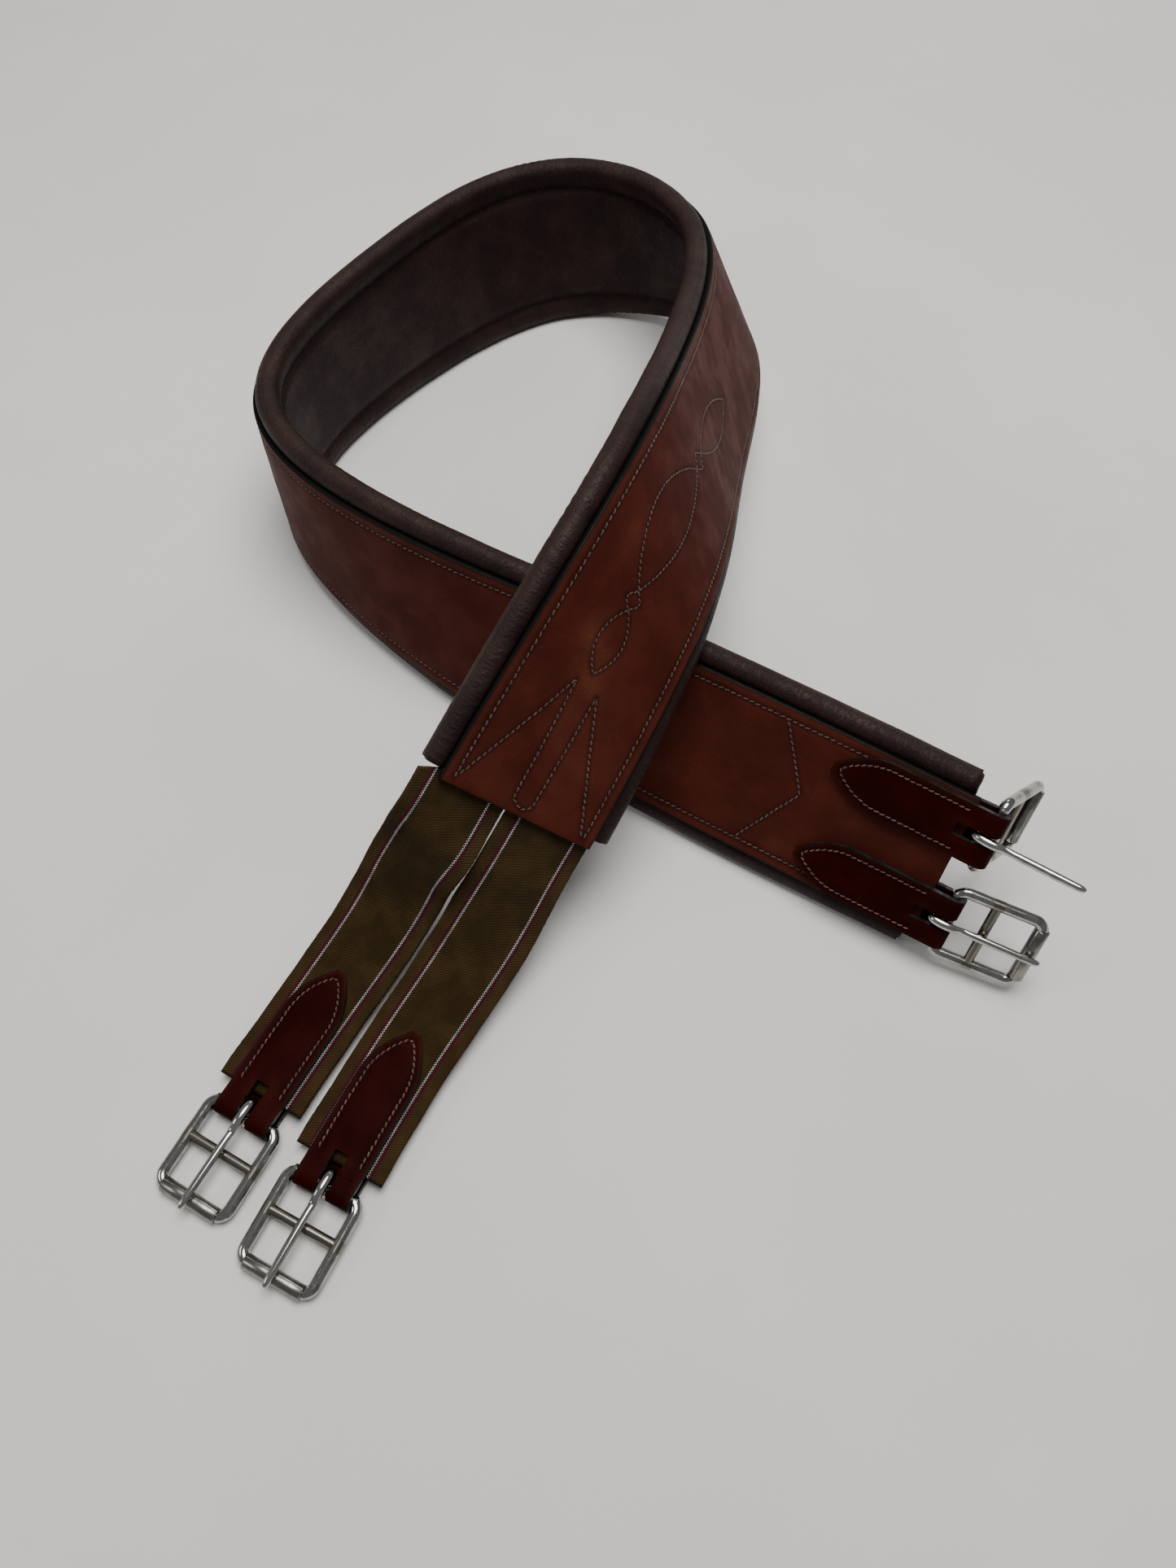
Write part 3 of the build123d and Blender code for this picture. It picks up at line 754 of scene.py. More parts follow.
# %% [markdown]
# ## The padded lining
# The side that lies against the horse is a soft leather, wrapped round a cord at both edges and
# sewn through at the edge rows. Between the rows it is held down only by the padding, so where
# the girth bends inwards there is too much of it and it gathers in cross pleats. A cloth simulation
# can make them: the sheet is laid out flat, pinned along the seams, grown a little where the bend
# is sharp and pushed by a pressure. The result is then bent into the loop. With the values used
# here the sheet hardly leaves the flat, as the printed heights show, so the pleats are missing and
# the lining's form comes from its seams and rolled edges.

# %% Lay out and simulate the lining
SEAM_W = EDGE_ROW                            # the edge rows go right through to the lining
LINING_STEP = 2.4
CLOTH_STEPS = 26
BEND_TO_SLACK = 95                           # mm: a bend of this radius or less is fully slack
PUFF_CAP = 4.2                               # a point of the lining never rises further, in mm
lining_s = np.linspace(END_TURN, girth.length - END_TURN, int((girth.length - 2 * END_TURN) / LINING_STEP))
lining_w = np.linspace(-SEAM_W, SEAM_W, 21)
slack = np.clip(girth.bend(lining_s) * BEND_TO_SLACK, 0, 1)
slack = np.convolve(np.pad(slack, 12, mode="edge"), np.ones(25) / 25, mode="valid")


def flat_lining():
    """The lining as a flat sheet, s along X and w along Y, with its vertex groups."""
    s, w = np.meshgrid(lining_s, lining_w, indexing="ij")
    lift = 0.25 * (1 + waves(8, 9, s, w * 0.25)) * (1 - (w / SEAM_W) ** 2)
    points = np.stack([s, w, lift], -1).reshape(-1, 3) * MM
    mesh = bpy.data.meshes.new("flat_lining")
    mesh.from_pydata(points.tolist(), [], grid_faces(len(lining_s), len(lining_w)))
    sheet = bpy.data.objects.new("flat_lining", mesh)
    bpy.context.scene.collection.objects.link(sheet)
    held, loose = sheet.vertex_groups.new(name="held"), sheet.vertex_groups.new(name="loose")
    columns = len(lining_w)
    for i in range(len(lining_s)):
        row = list(range(i * columns, (i + 1) * columns))
        ends = i in (0, len(lining_s) - 1)
        held.add(row if ends else [row[0], row[-1]], 1.0, "REPLACE")
        loose.add(row, float(slack[i]), "REPLACE")
    return sheet


def simulate_lining():
    """Runs the cloth and returns how far each point moved, in mm."""
    sheet = flat_lining()
    rest = np.array([v.co for v in sheet.data.vertices])
    cloth = sheet.modifiers.new("cloth", "CLOTH")
    setup = cloth.settings
    setup.quality = 5
    setup.mass = 0.2
    setup.tension_stiffness = setup.compression_stiffness = 25
    setup.shear_stiffness = 8
    setup.bending_stiffness = 0.06
    setup.vertex_group_mass = "held"
    setup.vertex_group_shrink = "loose"
    setup.shrink_min, setup.shrink_max = 0.0, -0.13
    setup.use_pressure = True
    setup.uniform_pressure_force = 1.2
    setup.effector_weights.gravity = 0
    cloth.collision_settings.use_collision = False
    cloth.point_cache.frame_start, cloth.point_cache.frame_end = 1, CLOTH_STEPS
    for step in range(1, CLOTH_STEPS + 1):
        bpy.context.scene.frame_set(step)
    shown = sheet.evaluated_get(bpy.context.evaluated_depsgraph_get())
    moved = np.array([v.co for v in shown.data.vertices]) - rest
    bpy.data.objects.remove(sheet)
    bpy.context.scene.frame_set(1)
    return (rest / MM + moved / MM).reshape(len(lining_s), len(lining_w), 3)


flat = simulate_lining()
flat[..., 2] = np.clip(flat[..., 2], -0.2, PUFF_CAP)
flat[..., 1] = np.clip(flat[..., 1], -SEAM_W, SEAM_W)
puff = flat[..., 2]
print("lining puffs up to", round(float(puff.max()), 2), "mm, mean", round(float(puff.mean()), 2))

# %% Wrap the lining round its cords
def roll_columns(side, count=11):
    """w and n from the hem under the leather, round the rolled edge, down to the lining's face."""
    angle = np.radians(np.linspace(ROLL_HEM_DEG, -90, count))
    return side * (roll_w + ROLL_R * np.cos(angle)), roll_n + ROLL_R * np.sin(angle)


def dress_lining():
    front_w, front_n = roll_columns(1)
    rear_w, rear_n = roll_columns(-1)
    rows = len(lining_s)
    tight = np.clip(girth.bend(lining_s) * BEND_TO_SLACK, 0, 1)[:, None]
    short_waves, long_waves = waves(11, 3.4, lining_s)[:, None], waves(12, 42, lining_s)[:, None]
    crimp = 0.16 * short_waves * (0.25 + tight) + 0.18 * long_waves
    pull = np.array([(38.6, 0.5), (36.2, 1.9)])  # w and how far the seam pulls the lining up

    def edge_part(w, n, side):
        around = np.clip(np.linspace(-0.3, 1.5, len(w)), 0, 1)[None, :]
        grow = 1 + crimp * around / ROLL_R
        ww = side * roll_w + (w[None, :] - side * roll_w) * grow
        nn = roll_n + (n[None, :] - roll_n) * grow
        extra_w = np.broadcast_to(side * pull[:, 0], (rows, 2))
        extra_n = LINING_LOW + pull[:, 1] + 0.15 * crimp
        return np.hstack([ww, extra_w]), np.hstack([nn, extra_n])

    fw, fn = edge_part(front_w, front_n, 1)
    rw, rn = edge_part(rear_w, rear_n, -1)
    middle_w = flat[:, ::-1, 1]
    dip = 2.3 * np.exp(-((SEAM_W - np.abs(middle_w)) / 2.0) ** 2)
    middle_n = LINING_LOW + dip - flat[:, ::-1, 2]
    middle_s = flat[:, ::-1, 0]
    s = np.hstack([np.repeat(lining_s[:, None], fw.shape[1], 1), middle_s,
                   np.repeat(lining_s[:, None], rw.shape[1], 1)])
    w = np.hstack([fw, middle_w, rw[:, ::-1]])
    n = np.hstack([fn, middle_n, rn[:, ::-1]])
    return s, w, n


S, W, N = dress_lining()
shade = np.exp(-((np.abs(np.abs(W) - SEAM_W)) / 1.6) ** 2) * (N < -5)
rubbed_top = np.clip((np.abs(W) - 44.5) / 4, 0, 1) * 0.35 + 0.12 * np.clip(waves(14, 30, S, W), 0, 1)
values = {
    "strap": np.stack([S, W * 1.0, N], -1).reshape(-1, 3), "edge": np.zeros(S.size),
    "worn": rubbed_top.ravel(), "seam": (0.8 * shade).ravel(),
}
points = girth.at(S, W, N).reshape(-1, 3)
lining = add_mesh("padded_lining", points, grid_faces(*S.shape), values, [lining_finish])
skin = lining.modifiers.new("skin", "SOLIDIFY")
skin.thickness = 1.1 * MM
skin.offset = -1.0
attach(lining, "girth")
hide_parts("lining_leather")
print(lining.name, S.size, "points")

# %% [markdown]
# ## What closes the padding's ends
# At each end the lining is turned in over the padding and the cut ends of the cord. Seen from
# the buckles it is a plump, creased wall under the leather, so it gets a piece of its own.

# %% Turned-in ends
def end_wall(name, s_end, outward, top_n):
    """Fills the section between the lining and top_n at an end, bulging outwards a little."""
    angle = np.radians(np.linspace(100, -90, 12))
    right = np.stack([roll_w + (ROLL_R - 0.3) * np.cos(angle), roll_n + (ROLL_R - 0.3) * np.sin(angle)], -1)
    low = np.stack([np.linspace(38, -38, 12), np.full(12, LINING_LOW + 1.6)], -1)
    left = right[::-1] * (-1, 1)
    top = np.stack([np.linspace(-37, 37, 12), np.full(12, top_n)], -1)
    rim = np.vstack([right, low, left, top])
    centre_n = (top_n + LINING_LOW) / 2
    rings = []
    for inward, out in ((1.0, 0.0), (0.97, 0.7), (0.88, 1.3), (0.6, 1.7), (0.25, 1.8)):
        w = rim[:, 0] * (1 - (1 - inward) * 0.16)
        n = centre_n + (rim[:, 1] - centre_n) * inward
        rings.append(girth.at(s_end + outward * out * (1 + 0.2 * waves(21, 9, w, n)), w, n))
    points = np.vstack(rings)
    columns = len(rim)
    faces = grid_faces(len(rings), columns, closed=True)
    last = (len(rings) - 1) * columns
    faces.append(tuple(range(last, last + columns)))
    flat_place = np.tile(np.stack([rim[:, 1], rim[:, 0], rim[:, 1]], -1), (len(rings), 1))
    values = {"strap": flat_place, "edge": np.zeros(len(points)), "worn": np.full(len(points), 0.1),
              "seam": np.zeros(len(points))}
    piece = add_mesh(name, points, faces, values, [lining_finish])
    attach(piece, "girth")
    return piece


walls = [
    end_wall("turned_in_end_elastic", END_TURN + 0.2, -1, -LAYER_GAP - ELASTIC_T - 0.15),
    end_wall("turned_in_end_plain", girth.length - END_TURN - 0.2, 1, -CHAPE_CLEAR - CHAPE_T - 0.15),
]
print([piece.name for piece in walls])

# %% [markdown]
# ## The layers nobody sees
# Under the leather a flat nylon web carries the pull, felt gives the padding its body and a
# twisted cord fills each rolled edge. Web and cord keep the model's shape and only get their cloth
# finishes. The felt is made again, a little narrower, so that the seams can sink in beside it.

# %% Web, felt and cord
def cloth_finish(name, dark, light, thread, slant, depth, rough=0.85):
    material, tree, shader = start_material(name, Sheen_Weight=0.35, Sheen_Roughness=0.5)
    place = object_mm(tree)
    weave = use_group(tree, twill, place, Thread=thread, Slant=slant)
    slow = use_group(tree, mottle, place, Patch=12.0, Fleck=0.8)
    colour = tree.mix(slow["Patches"], dark, light)
    shadow = tuple(c * 0.4 for c in dark[:3]) + (1,)
    tree.feed(shader.inputs["Base Color"], tree.mix(weave["Gaps"], colour, shadow))
    tree.feed(shader.inputs["Roughness"], tree.span(slow["Flecks"], 0, 1, rough, rough - 0.12))
    bump(tree, shader, weave["Height"], depth)
    return material


web_finish = cloth_finish("nylon_web", (0.02, 0.02, 0.02, 1), (0.05, 0.048, 0.045, 1), 1.6, 0.9, 0.25)
cord_finish = cloth_finish("twisted_cord", (0.3, 0.27, 0.22, 1), (0.45, 0.41, 0.35, 1), 2.4, 1.1, 0.3)
inside = {"web_core": web_finish, "edge_piping_front": cord_finish, "edge_piping_rear": cord_finish}


def give_finish(node, material):
    """Puts a material on a CAD node, whose shape stays as it is."""
    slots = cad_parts[node].data.materials
    slots.clear()
    slots.append(material)


for node, material in inside.items():
    give_finish(node, material)

FELT_W, FELT_LOW, FELT_TOP = 32.0, LINING_LOW + 1.6, -1.9


def build_felt():
    s = np.arange(END_TURN + 2, girth.length - END_TURN - 2, 6.0)
    across = np.array([-1, -0.9, -0.5, 0, 0.5, 0.9, 1, 1, 0.9, 0.5, 0, -0.5, -0.9, -1]) * FELT_W
    top = np.where(s < ELASTIC_TUCK + 4, -LAYER_GAP - ELASTIC_T - 0.2, FELT_TOP)
    top = np.where(s > girth.length - CHAPE_LEG - 4, -CHAPE_CLEAR - CHAPE_T - 0.2, top)
    S, W = np.meshgrid(s, across, indexing="ij")
    lower = np.repeat([FELT_LOW, 0], 7) + np.array([0.8, 0.1, 0, 0, 0, 0.1, 0.8] + [0.0] * 7)
    N = np.where(np.arange(14) < 7, lower, top[:, None])
    faces = with_caps(grid_faces(len(s), 14, closed=True), len(s), 14)
    felt_finish = cloth_finish("pressed_felt", (0.2, 0.19, 0.17, 1), (0.33, 0.31, 0.28, 1), 0.5, 1.4, 0.08)
    return add_mesh("felt_padding", girth.at(S, W, N).reshape(-1, 3), faces, None, [felt_finish])


felt = build_felt()
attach(felt, "girth")
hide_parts("padding")
print("cloth finishes on", sorted(inside), "and", felt.name)

# %% [markdown]
# ## The elastics
# Each elastic is a woven band, dark olive in the middle and browner towards its selvedges. Two
# white zig-zag threads run along it with a maroon line beside each. The band is one mesh, from
# the buckle's bar to under the leather.

# %% Elastic material
ZIGZAG_W = 14.6                              # white threads, from the band's middle


def elastic_material():
    material, tree, shader = start_material("olive_woven_elastic", Specular_IOR_Level=0.1)
    place = attribute(tree, "strap", "Vector")
    parts = tree.node("ShaderNodeSeparateXYZ", {"Vector": place})
    weave = use_group(tree, twill, place, Thread=0.85, Slant=0.5)
    slow = use_group(tree, mottle, place, Patch=20.0, Fleck=0.9)
    from_middle = tree.math("ABSOLUTE", parts.outputs[1])
    band = tree.span(from_middle, ZIGZAG_W - 0.6, ZIGZAG_W + 0.6)
    colour = tree.mix(slow["Patches"], (0.038, 0.0215, 0.0068, 1), (0.062, 0.036, 0.0112, 1))
    selvedge = tree.mix(slow["Patches"], (0.048, 0.026, 0.009, 1), (0.07, 0.039, 0.014, 1))
    colour = tree.mix(band, colour, selvedge)
    line = tree.math("ABSOLUTE", tree.math("SUBTRACT", from_middle, ZIGZAG_W + 1.35))
    colour = tree.mix(tree.span(line, 0.75, 0.45), colour, (0.075, 0.008, 0.02, 1))
    colour = tree.mix(tree.math("MULTIPLY", weave["Gaps"], 0.7), colour, (0.0035, 0.0025, 0.0018, 1))
    colour = tree.mix(attribute(tree, "edge"), colour, (0.012, 0.006, 0.004, 1))
    tree.feed(shader.inputs["Base Color"], colour)
    tree.feed(shader.inputs["Roughness"], tree.span(slow["Flecks"], 0, 1, 0.8, 0.66))
    bump(tree, shader, weave["Height"], 0.16)
    return material


elastic_finish = elastic_material()
white_thread = thread_material("white_zigzag_thread", (0.36, 0.36, 0.36, 1), (0.62, 0.62, 0.6, 1), 0.75)


# %% Build the elastics
def stretch_ends(side):
    """Where the stretch starts and stops: the buckle's chape, and the leather's mouth."""
    strap, free = elastics[side]
    near_chape, mouth = strap.at(CHAPE_LEG + 2), strap.at(free - 6)
    return (mouth + SHIFT) * MM, (near_chape + SHIFT) * MM


def stretchy(piece, side):
    """Bakes the piece's placement into its mesh. The ends of the stretch are found but not used."""
    mouth, chape = stretch_ends(side)
    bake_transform(piece)
    return piece


BAND_POINTS, BAND_BACK_POINTS = 40, 10


def build_elastic(side):
    strap, free = elastics[side]
    s = np.arange(BAR_OUT + 0.3, strap.length, 1.6)
    half_w, half_t = ELASTIC_W / 2, ELASTIC_T / 2 - 0.1
    face = np.linspace(-half_w + 0.7, half_w - 0.7, BAND_POINTS)
    turn = [(half_w - 0.25, half_t - 0.35), (half_w, 0.0), (half_w - 0.25, 0.35 - half_t)]
    w = np.concatenate([face, [p[0] for p in turn], face[::4][::-1], [-p[0] for p in turn[::-1]]])
    turn_n = [p[1] for p in turn]
    n = np.concatenate([np.full(BAND_POINTS, half_t), turn_n,
                        np.full(BAND_BACK_POINTS, -half_t), turn_n[::-1]])
    S, W = np.meshgrid(s, w, indexing="ij")
    N = np.broadcast_to(n, S.shape).copy()
    selvedge = np.abs(W) > half_w - 0.8
    W = W * (1 + np.where(selvedge, 0.004 * waves(31, 1.9, S) + 0.008 * waves(32, 40, S, W), 0))
    outward = SIDES[side]                    # under the leather the outer edge is trimmed
    spare = outward * ELASTIC_SPLIT + ELASTIC_SEAM + ELASTIC_W - (LEATHER_W / 2 - ELASTIC_EDGE)
    tucked = np.clip((S - free) / ELASTIC_TRIM, 0, 1)
    W = W - outward * tucked * spare * (outward * W + half_w) / ELASTIC_W
    thread_dip = 0.18 * np.exp(-((np.abs(W) - ZIGZAG_W - 3) / 2.4) ** 2)
    N += np.where(N > half_t - 0.2, 0.12 * waves(33, 16, S, W) - thread_dip, 0)
    values = {"strap": np.stack([S, W, N], -1).reshape(-1, 3),
              "edge": (np.clip(1 - (S - s[0]) / 1.2, 0, 1)).ravel()}
    faces = with_caps(grid_faces(len(s), len(w), closed=True), len(s), len(w))
    points = strap.at(S, W, N).reshape(-1, 3)
    band = add_mesh("elastic_band_" + side, points, faces, values, [elastic_finish])
    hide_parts("elastic_" + side)
    return stretchy(band, side)


def thread_tube(name, points, outs, radius, material, sides=5):
    """A thin tube along points, with the direction that is up at each of them."""
    along = unit(np.gradient(points, axis=0))
    aside = unit(np.cross(outs, along))
    angle = np.linspace(0, math.tau, sides, endpoint=False)[None, :, None]
    rings = points[:, None] + radius * (aside[:, None] * np.cos(angle) + outs[:, None] * np.sin(angle) * 0.8)
    faces = with_caps(grid_faces(len(points), sides, closed=True), len(points), sides)
    return add_mesh(name, rings.reshape(-1, 3), faces, None, [material])


def zigzag(side, at_w, label):
    strap, free = elastics[side]
    s = np.arange(BAR_OUT + 1.0, free + 6, 0.62)
    w = at_w + 0.48 * np.where(np.arange(len(s)) % 2, 1, -1)
    lift = ELASTIC_T / 2 + 0.02 - 0.1
    points = strap.at(s, w, lift)
    outs = strap.at(s, w, lift + 1) - points
    piece = thread_tube(f"zigzag_thread_{side}_{label}", points, outs, 0.26, white_thread)
    return stretchy(piece, side)


for side in SIDES:
    band = build_elastic(side)
    threads = [zigzag(side, at_w, label) for at_w, label in ((ZIGZAG_W, "a"), (-ZIGZAG_W, "b"))]
    print(band.name, [piece.name for piece in threads])

# %% [markdown]
# ## Chapes
# A chape is a strip of leather with two pointed ends, folded round the buckle's bar, with a slot
# in the fold for the tongue. It is modelled as a sheet along that path and then thickened, which
# gives the slot its walls and every cut edge its own black face.

# %% Build a chape
LEG_Z = {end: thick / 2 + CHAPE_CLEAR + CHAPE_T / 2
         for end, thick in (("elastic", ELASTIC_T), ("plain", LEATHER_T))}
FOLD_MID_R = BAR_R + RUN_FIT + CHAPE_T / 2
SLOT_UNDER = 5.8                             # the slot runs this far back on the lower leg
FOLD_EASE = 9.0                              # the legs swing out to the fold over this length


def chape_half_width(back):
    """Half the width at a distance in from the tip."""
    part = np.clip(np.asarray(back, float) / CHAPE_POINT, 0, 1)
    return (CHAPE_TIP_W + (CHAPE_W - CHAPE_TIP_W) * np.sin(np.pi / 2 * part) ** 0.8) / 2


def leg_z(end, x):
    """Height of the upper leg's middle above the bar's plane."""
    ease = np.clip(1 + np.asarray(x, float) / FOLD_EASE, 0, 1)
    ease = ease * ease * (3 - 2 * ease)
    return LEG_Z[end] + (FOLD_MID_R - LEG_Z[end]) * ease


def chape_path(end):
    """x, z and distance from the nearer tip for each row, from the lower tip to the upper."""
    tip = np.array([0, 0.25, 0.8, 1.8, 3.2, 5, 7, 9.5, 12.5, 16, 20, 24])
    run = np.concatenate([tip, np.arange(28, CHAPE_LEG - SLOT_BACK - 1, 4.0)])
    near = np.array([SLOT_BACK + 0.01, SLOT_BACK, 13, 11, 9, 7.3, SLOT_UNDER + 0.01, SLOT_UNDER, 4, 2])
    back = np.concatenate([run, CHAPE_LEG - near])
    x = back - CHAPE_LEG
    z = leg_z(end, x)
    turn = np.radians(np.linspace(-90, 90, 15))
    return (np.concatenate([x, FOLD_MID_R * np.cos(turn), x[::-1]]),
            np.concatenate([-z, FOLD_MID_R * np.sin(turn), z[::-1]]),
            np.concatenate([back, np.full(15, CHAPE_LEG), back[::-1]]))


def inset_outline(inset, from_back, steps=60):
    """A line inside the chape's outline, as (back, y) points round the point of the leg."""
    back = np.concatenate([np.linspace(0, CHAPE_POINT, steps), np.linspace(CHAPE_POINT, from_back, 12)[1:]])
    y = chape_half_width(back)
    slope = np.gradient(y, back)
    steep = np.hypot(slope, 1)
    line = np.stack([back + slope / steep * inset, y - inset / steep], -1)
    line = line[line[:, 1] > 0.35]
    line = line[np.argmin(line[:, 0]):]
    return np.vstack([line[::-1], line * (1, -1)])


ROW_INSET = 3.3                              # row of stitches, in from the chape's rim
ROW_END = CHAPE_LEG - 12                     # the row stops here, short of the fold


def build_chape(end, side):
    place = chape_place(end, side)
    x, z, back = chape_path(end)
    upper = np.arange(len(x)) >= len(x) // 2
    slot = SLOT_W / CHAPE_W
    share = np.array([-1, -0.97, -0.9, -0.8, -0.7, -0.55, -0.4, -slot, -0.12, 0, 0.12, slot, 0.4, 0.55, 0.7,
                      0.8, 0.9, 0.97, 1])
    X, F = np.meshgrid(x, share, indexing="ij")
    Z = np.broadcast_to(z[:, None], X.shape).copy()
    B = np.broadcast_to(back[:, None], X.shape)
    Y = F * chape_half_width(B)
    row = ((np.abs(np.abs(Y) - (chape_half_width(B) - ROW_INSET)) < 9) & (B < ROW_END))
    from_rim = np.minimum(chape_half_width(B) - np.abs(Y), B * 0.9)
    groove = np.exp(-((from_rim - ROW_INSET) / 1.3) ** 2) * row
    outward = np.where(upper[:, None], 1.0, -1.0)
    swell = 0.35 * (1 - F**2) * np.clip((CHAPE_LEG - B) / 12, 0, 1)
    unrest = 0.1 * waves(41 + len(end) + len(side), 15, X, Y)
    Z = Z + outward * (swell - 0.3 * groove + unrest)
    press = np.clip(1 - B / 6, 0, 1) * 0.35
    Z = Z - outward * press
    split_low, split_high = len(x) // 2 - 7, len(x) // 2 + 8

    def keep(i, j):
        inside_slot = 7 <= j < 11
        low = i >= split_low - 3
        high = i < split_high + 8
        return not (inside_slot and low and high)

    hot = (np.exp(-((from_rim) / 1.6) ** 2) * 0.3 + 0.4 * np.exp(-((B - 4) / 5) ** 2) * 0.5)
    tear = np.exp(-((X + 12) / 5) ** 2 - ((np.abs(Y) - 4.5) / 2.2) ** 2) * 0.25
    # The seam value is painted shade in the groove of the stitched row.
    values = {"strap": np.stack([X + len(side) * 97.0, Y, Z], -1).reshape(-1, 3),
              "edge": np.clip(1 - from_rim / 0.75, 0, 1).ravel() * (np.abs(F) > 0.9).ravel() * 0.9,
              "worn": np.clip(hot + tear, 0, 1).ravel() * 0.8, "seam": (0.55 * groove).ravel()}
    piece = add_mesh(f"folded_chape_{end}_{side}", place(X, Y, Z).reshape(-1, 3),
                     grid_faces(*X.shape, keep=keep), values, [chape_finish, edge_finish])
    skin = piece.modifiers.new("skin", "SOLIDIFY")
    skin.thickness = (CHAPE_T - 0.15) * MM
    skin.offset = 0.0
    skin.material_offset_rim = 1
    soften = piece.modifiers.new("soften", "BEVEL")
    soften.width, soften.segments = 0.45 * MM, 3
    soften.limit_method, soften.angle_limit = "ANGLE", math.radians(50)
    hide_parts(f"chape_{end}_{side}")
    return piece


def chape_face(end, side):
    """Places stitches: a is the distance in from the tip, b across, lift above the upper leg."""
    place = chape_place(end, side)

    def at(back, y, lift):
        x = np.asarray(back, float) - CHAPE_LEG
        return place(x, y, leg_z(end, x) + CHAPE_T / 2 + 0.1 + lift)
    return at


for end, side in BUCKLES:
    body = BODY_OF_END[end] + (side if end == "elastic" else "")
    piece = build_chape(end, side)
    row = [inset_outline(ROW_INSET, ROW_END)]
    sewn_row = stitches(f"stitches_chape_{end}_{side}", chape_face(end, side), row, rust_thread, -0.12,
                        pitch=3.0, radius=0.4, slant=0.3, seed=50 + len(end) + len(side))
    for part in (piece, sewn_row):
        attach(part, body)
    print(piece.name, "rides on", body)

# %% [markdown]
# ## Buckles
# The frame is bent from thick wire and polished. The middle bar and the roller are duller, since
# straps rub over them. The tongue is a rod whose root is wrapped round the bar, with a pinched
# neck where it leaves the slot. Frames keep the model's own shape. Tongue and roller are made
# again with the shapes that a press and a rolled tube leave.

# %% Metal materials
def along_buckle(tree, end, side):
    """Distance out from the chape bar, in mm, from the object's own coordinates."""
    up = REST_ANGLES[end, side][0]
    place = turned_place(end, side, up)
    origin = place(0.0, 0.0, 0.0) + SHIFT
    out = place(1.0, 0.0, 0.0) + SHIFT - origin
    shifted = tree.node("ShaderNodeVectorMath", {0: object_mm(tree), 1: tuple(origin)}, operation="SUBTRACT")
    dot = tree.node("ShaderNodeVectorMath", {0: shifted.outputs[0], 1: tuple(out)}, operation="DOT_PRODUCT")
    return dot.outputs["Value"]


def metal(name, bright, dull, rough, rough_dull, dull_mask=None):
    """Polished metal with rubbed patches. dull_mask(tree) marks where it is always dull."""
    material, tree, shader = start_material(name, Metallic=1.0)
    place = object_mm(tree)
    marks = use_group(tree, rubbed, place, Spacing=1.1)
    tarnish = tree.math("MULTIPLY", marks["Smears"], 0.55)
    if dull_mask is not None:
        tarnish = tree.math("MAXIMUM", tarnish, dull_mask(tree))
    colour = tree.mix(tarnish, bright, dull)
    rough_now = tree.span(tarnish, 0, 1, rough, rough_dull)
    rough_now = tree.math("ADD", rough_now, tree.math("MULTIPLY", marks["Scratches"], 0.03))
    tree.feed(shader.inputs["Base Color"], colour)
    tree.feed(shader.inputs["Roughness"], rough_now)
    bump(tree, shader, marks["Scratches"], 0.0008)
    return material


BRIGHT, DULL = (0.42, 0.41, 0.39, 1), (0.17, 0.155, 0.125, 1)
tongue_finish = metal("bright_tongue_wire", (0.5, 0.485, 0.46, 1), (0.27, 0.25, 0.215, 1), 0.11, 0.22)
roller_finish = metal("dull_roller_tube", (0.26, 0.25, 0.23, 1), (0.13, 0.12, 0.105, 1), 0.28, 0.4)
for end, side in BUCKLES:
    def mid_bar(tree, end=end, side=side):
        x = along_buckle(tree, end, side)
        off = tree.math("ABSOLUTE", tree.math("SUBTRACT", x, MID_X))
        return tree.span(off, 3.2, 2.2, 0.0, 0.85)
    finish = metal(f"polished_frame_{end}_{side}", BRIGHT, DULL, 0.1, 0.26, mid_bar)
    give_finish(f"buckle_frame_{end}_{side}", finish)
print("frames keep their CAD shape")

# %% Tongues and rollers
TONGUE_LINE = [                              # x out, z up and radius, from root to point
    (-6.8, 0.6, 1.5), (-6.2, 2.4, 2.0), (-4.2, 3.9, 2.25), (-1.0, 4.75, 2.35), (3.0, 5.1, 2.3),
    (6.2, 4.85, 1.95), (8.6, 4.35, 1.6), (11.0, 4.25, 1.75), (15.0, 4.45, 1.95), (24.0, 4.95, 1.95),
    (34.0, 5.45, 1.9), (40.5, 5.75, 1.85), (44.0, 5.8, 1.75), (45.6, 5.75, 1.45), (46.4, 5.7, 0.8),
]


def smooth_line(points, steps):
    """A smooth run through a few points, by the same spline as the straps."""
    u = np.linspace(0, len(points) - 1, steps)
    return spline_at(points, u)


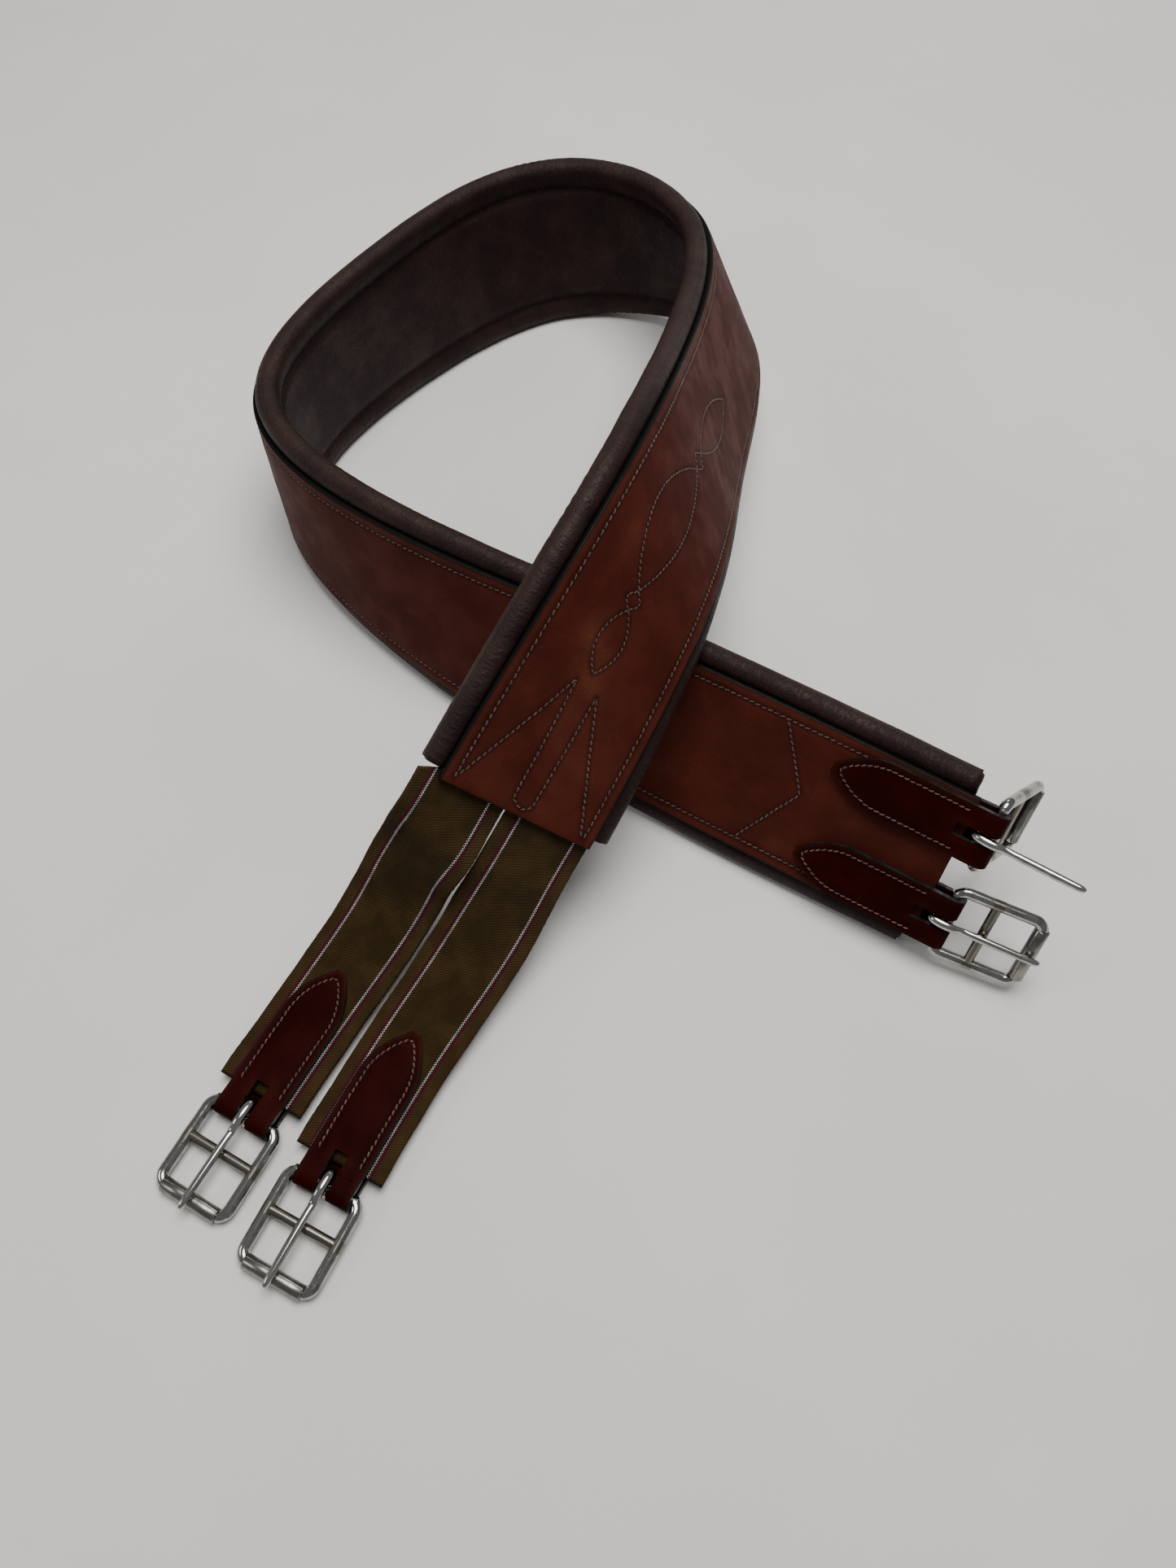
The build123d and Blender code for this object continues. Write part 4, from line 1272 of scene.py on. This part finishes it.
def build_tongue(end, side):
    frame_up, tongue_up = REST_ANGLES[end, side]
    place = turned_place(end, side, frame_up + tongue_up)
    x, z, r = smooth_line(TONGUE_LINE, 90).T
    tilt = np.arctan2(np.gradient(z), np.gradient(x))
    angle = np.linspace(0, math.tau, 20, endpoint=False)[None, :]
    flat = (1 - 0.22 * np.exp(-((x - 8.6) / 2.2) ** 2))[:, None]
    up, aside = r[:, None] * np.sin(angle) * flat, r[:, None] * np.cos(angle) / flat**0.5
    points = place(x[:, None] - up * np.sin(tilt)[:, None], aside, z[:, None] + up * np.cos(tilt)[:, None])
    faces = with_caps(grid_faces(len(x), 20, closed=True), len(x), 20)
    shank = add_mesh(f"tongue_{end}_{side}", points.reshape(-1, 3), faces, None, [tongue_finish])
    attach(shank, f"tongue_{end}_{side}")
    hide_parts(f"buckle_tongue_{end}_{side}")
    wrap = np.radians(np.linspace(100, 430, 34))
    bar_ring = BAR_R + RUN_FIT
    profile = [(-2.7, 0.5), (-2.2, 0.1), (2.2, 0.1), (2.7, 0.5),
               (2.7, 1.7), (2.1, 2.3), (-2.1, 2.3), (-2.7, 1.7)]
    y = np.array([p[0] for p in profile])[None, :]
    reach = bar_ring + np.array([p[1] for p in profile])[None, :]
    ring = place(reach * np.cos(wrap)[:, None], y + 0 * wrap[:, None], reach * np.sin(wrap)[:, None])
    faces = with_caps(grid_faces(len(wrap), 8, closed=True), len(wrap), 8)
    loop = add_mesh(f"tongue_loop_{end}_{side}", ring.reshape(-1, 3), faces, None, [tongue_finish])
    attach(loop, f"tongue_{end}_{side}")
    return shank


def build_roller(end, side):
    place = turned_place(end, side, REST_ANGLES[end, side][0])
    half_w, outer_r = BUCKLE_IN_W / 2 - ROLLER_END_GAP, ROLLER_IN + ROLLER_WALL
    profile = [(-half_w + 0.3, ROLLER_IN), (-half_w, ROLLER_IN + 0.3), (-half_w, outer_r - 0.35),
               (-half_w + 0.35, outer_r), (-half_w / 3, outer_r - 0.02), (half_w / 3, outer_r - 0.02),
               (half_w - 0.35, outer_r), (half_w, outer_r - 0.35), (half_w, ROLLER_IN + 0.3),
               (half_w - 0.3, ROLLER_IN)]
    seam = math.radians(118)
    angle = np.sort(np.concatenate([np.linspace(0, math.tau, 48, endpoint=False),
                                    seam + np.array([-0.09, -0.045, 0.0, 0.045, 0.09])]))[:, None]
    notch = 0.45 * np.exp(-((angle - seam) / 0.04) ** 2)
    y = np.array([p[0] for p in profile])[None, :]
    outside = np.array([p[1] > ROLLER_IN + 1 for p in profile])
    r = np.array([p[1] for p in profile])[None, :] - notch * outside
    points = place(BUCKLE_L + r * np.cos(angle), y + 0 * angle, r * np.sin(angle))
    rows = len(angle)
    ring_of = len(profile)
    faces = grid_faces(rows, ring_of, closed=True)
    faces += [(j + (rows - 1) * ring_of, (j + 1) % ring_of + (rows - 1) * ring_of, (j + 1) % ring_of, j)
              for j in range(ring_of)]
    roller = add_mesh(f"roller_{end}_{side}", points.reshape(-1, 3), faces, None, [roller_finish])
    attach(roller, f"roller_{end}_{side}")
    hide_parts(f"buckle_roller_{end}_{side}")
    return roller


for end, side in BUCKLES:
    print(build_tongue(end, side).name, build_roller(end, side).name)

# %% [markdown]
# ## Floor and light
# A pale, even floor and large soft lights. One broad light overhead does most of the work. Two
# weak ones, at the left and behind, draw highlights on the metal and the rolled edges, and the sky
# fills in.

# %% Stage
def floor_material():
    material, tree, shader = start_material("pale_floor", Roughness=0.9)
    slow = use_group(tree, mottle, object_mm(tree), Patch=300.0, Fleck=4.0)
    colour = tree.mix(slow["Patches"], (0.785, 0.77, 0.745, 1), (0.825, 0.81, 0.785, 1))
    tree.feed(shader.inputs["Base Color"], colour)
    return material


FLOOR_HALF = 6.0
floor_mesh = bpy.data.meshes.new("floor")
corners = [(x * FLOOR_HALF, y * FLOOR_HALF, 0.0) for x, y in ((-1, -1), (1, -1), (1, 1), (-1, 1))]
floor_mesh.from_pydata(corners, [], [(0, 1, 2, 3)])
floor_mesh.materials.append(floor_material())
floor = bpy.data.objects.new("floor", floor_mesh)
bpy.context.scene.collection.objects.link(floor)

world = bpy.data.worlds.new("soft_sky")
bpy.context.scene.world = world
world.use_nodes = True
world.node_tree.nodes["Background"].inputs["Color"].default_value = (0.93, 0.96, 1.0, 1)
world.node_tree.nodes["Background"].inputs["Strength"].default_value = 0.22


def area_light(name, at, towards, size, power, colour=(1, 1, 1)):
    light = bpy.data.lights.new(name, "AREA")
    light.shape, light.size, light.energy, light.color = "DISK", size, power, colour
    lamp = bpy.data.objects.new(name, light)
    lamp.location = at
    lamp.rotation_euler = (Vector(towards) - Vector(at)).to_track_quat("-Z", "Y").to_euler()
    bpy.context.scene.collection.objects.link(lamp)
    return lamp


lamps = [
    area_light("overhead", (0.15, 0.2, 1.7), (0, 0, 0), 1.2, 31, (1.0, 0.985, 0.965)),
    area_light("window", (-1.3, -0.2, 0.9), (0, -0.05, 0.02), 0.5, 3, (1.0, 0.98, 0.95)),
    area_light("back", (0.5, 1.5, 1.0), (0, 0.1, 0.05), 0.6, 2.5, (1.0, 0.98, 0.96)),
]
print("lamps", [lamp.name for lamp in lamps])
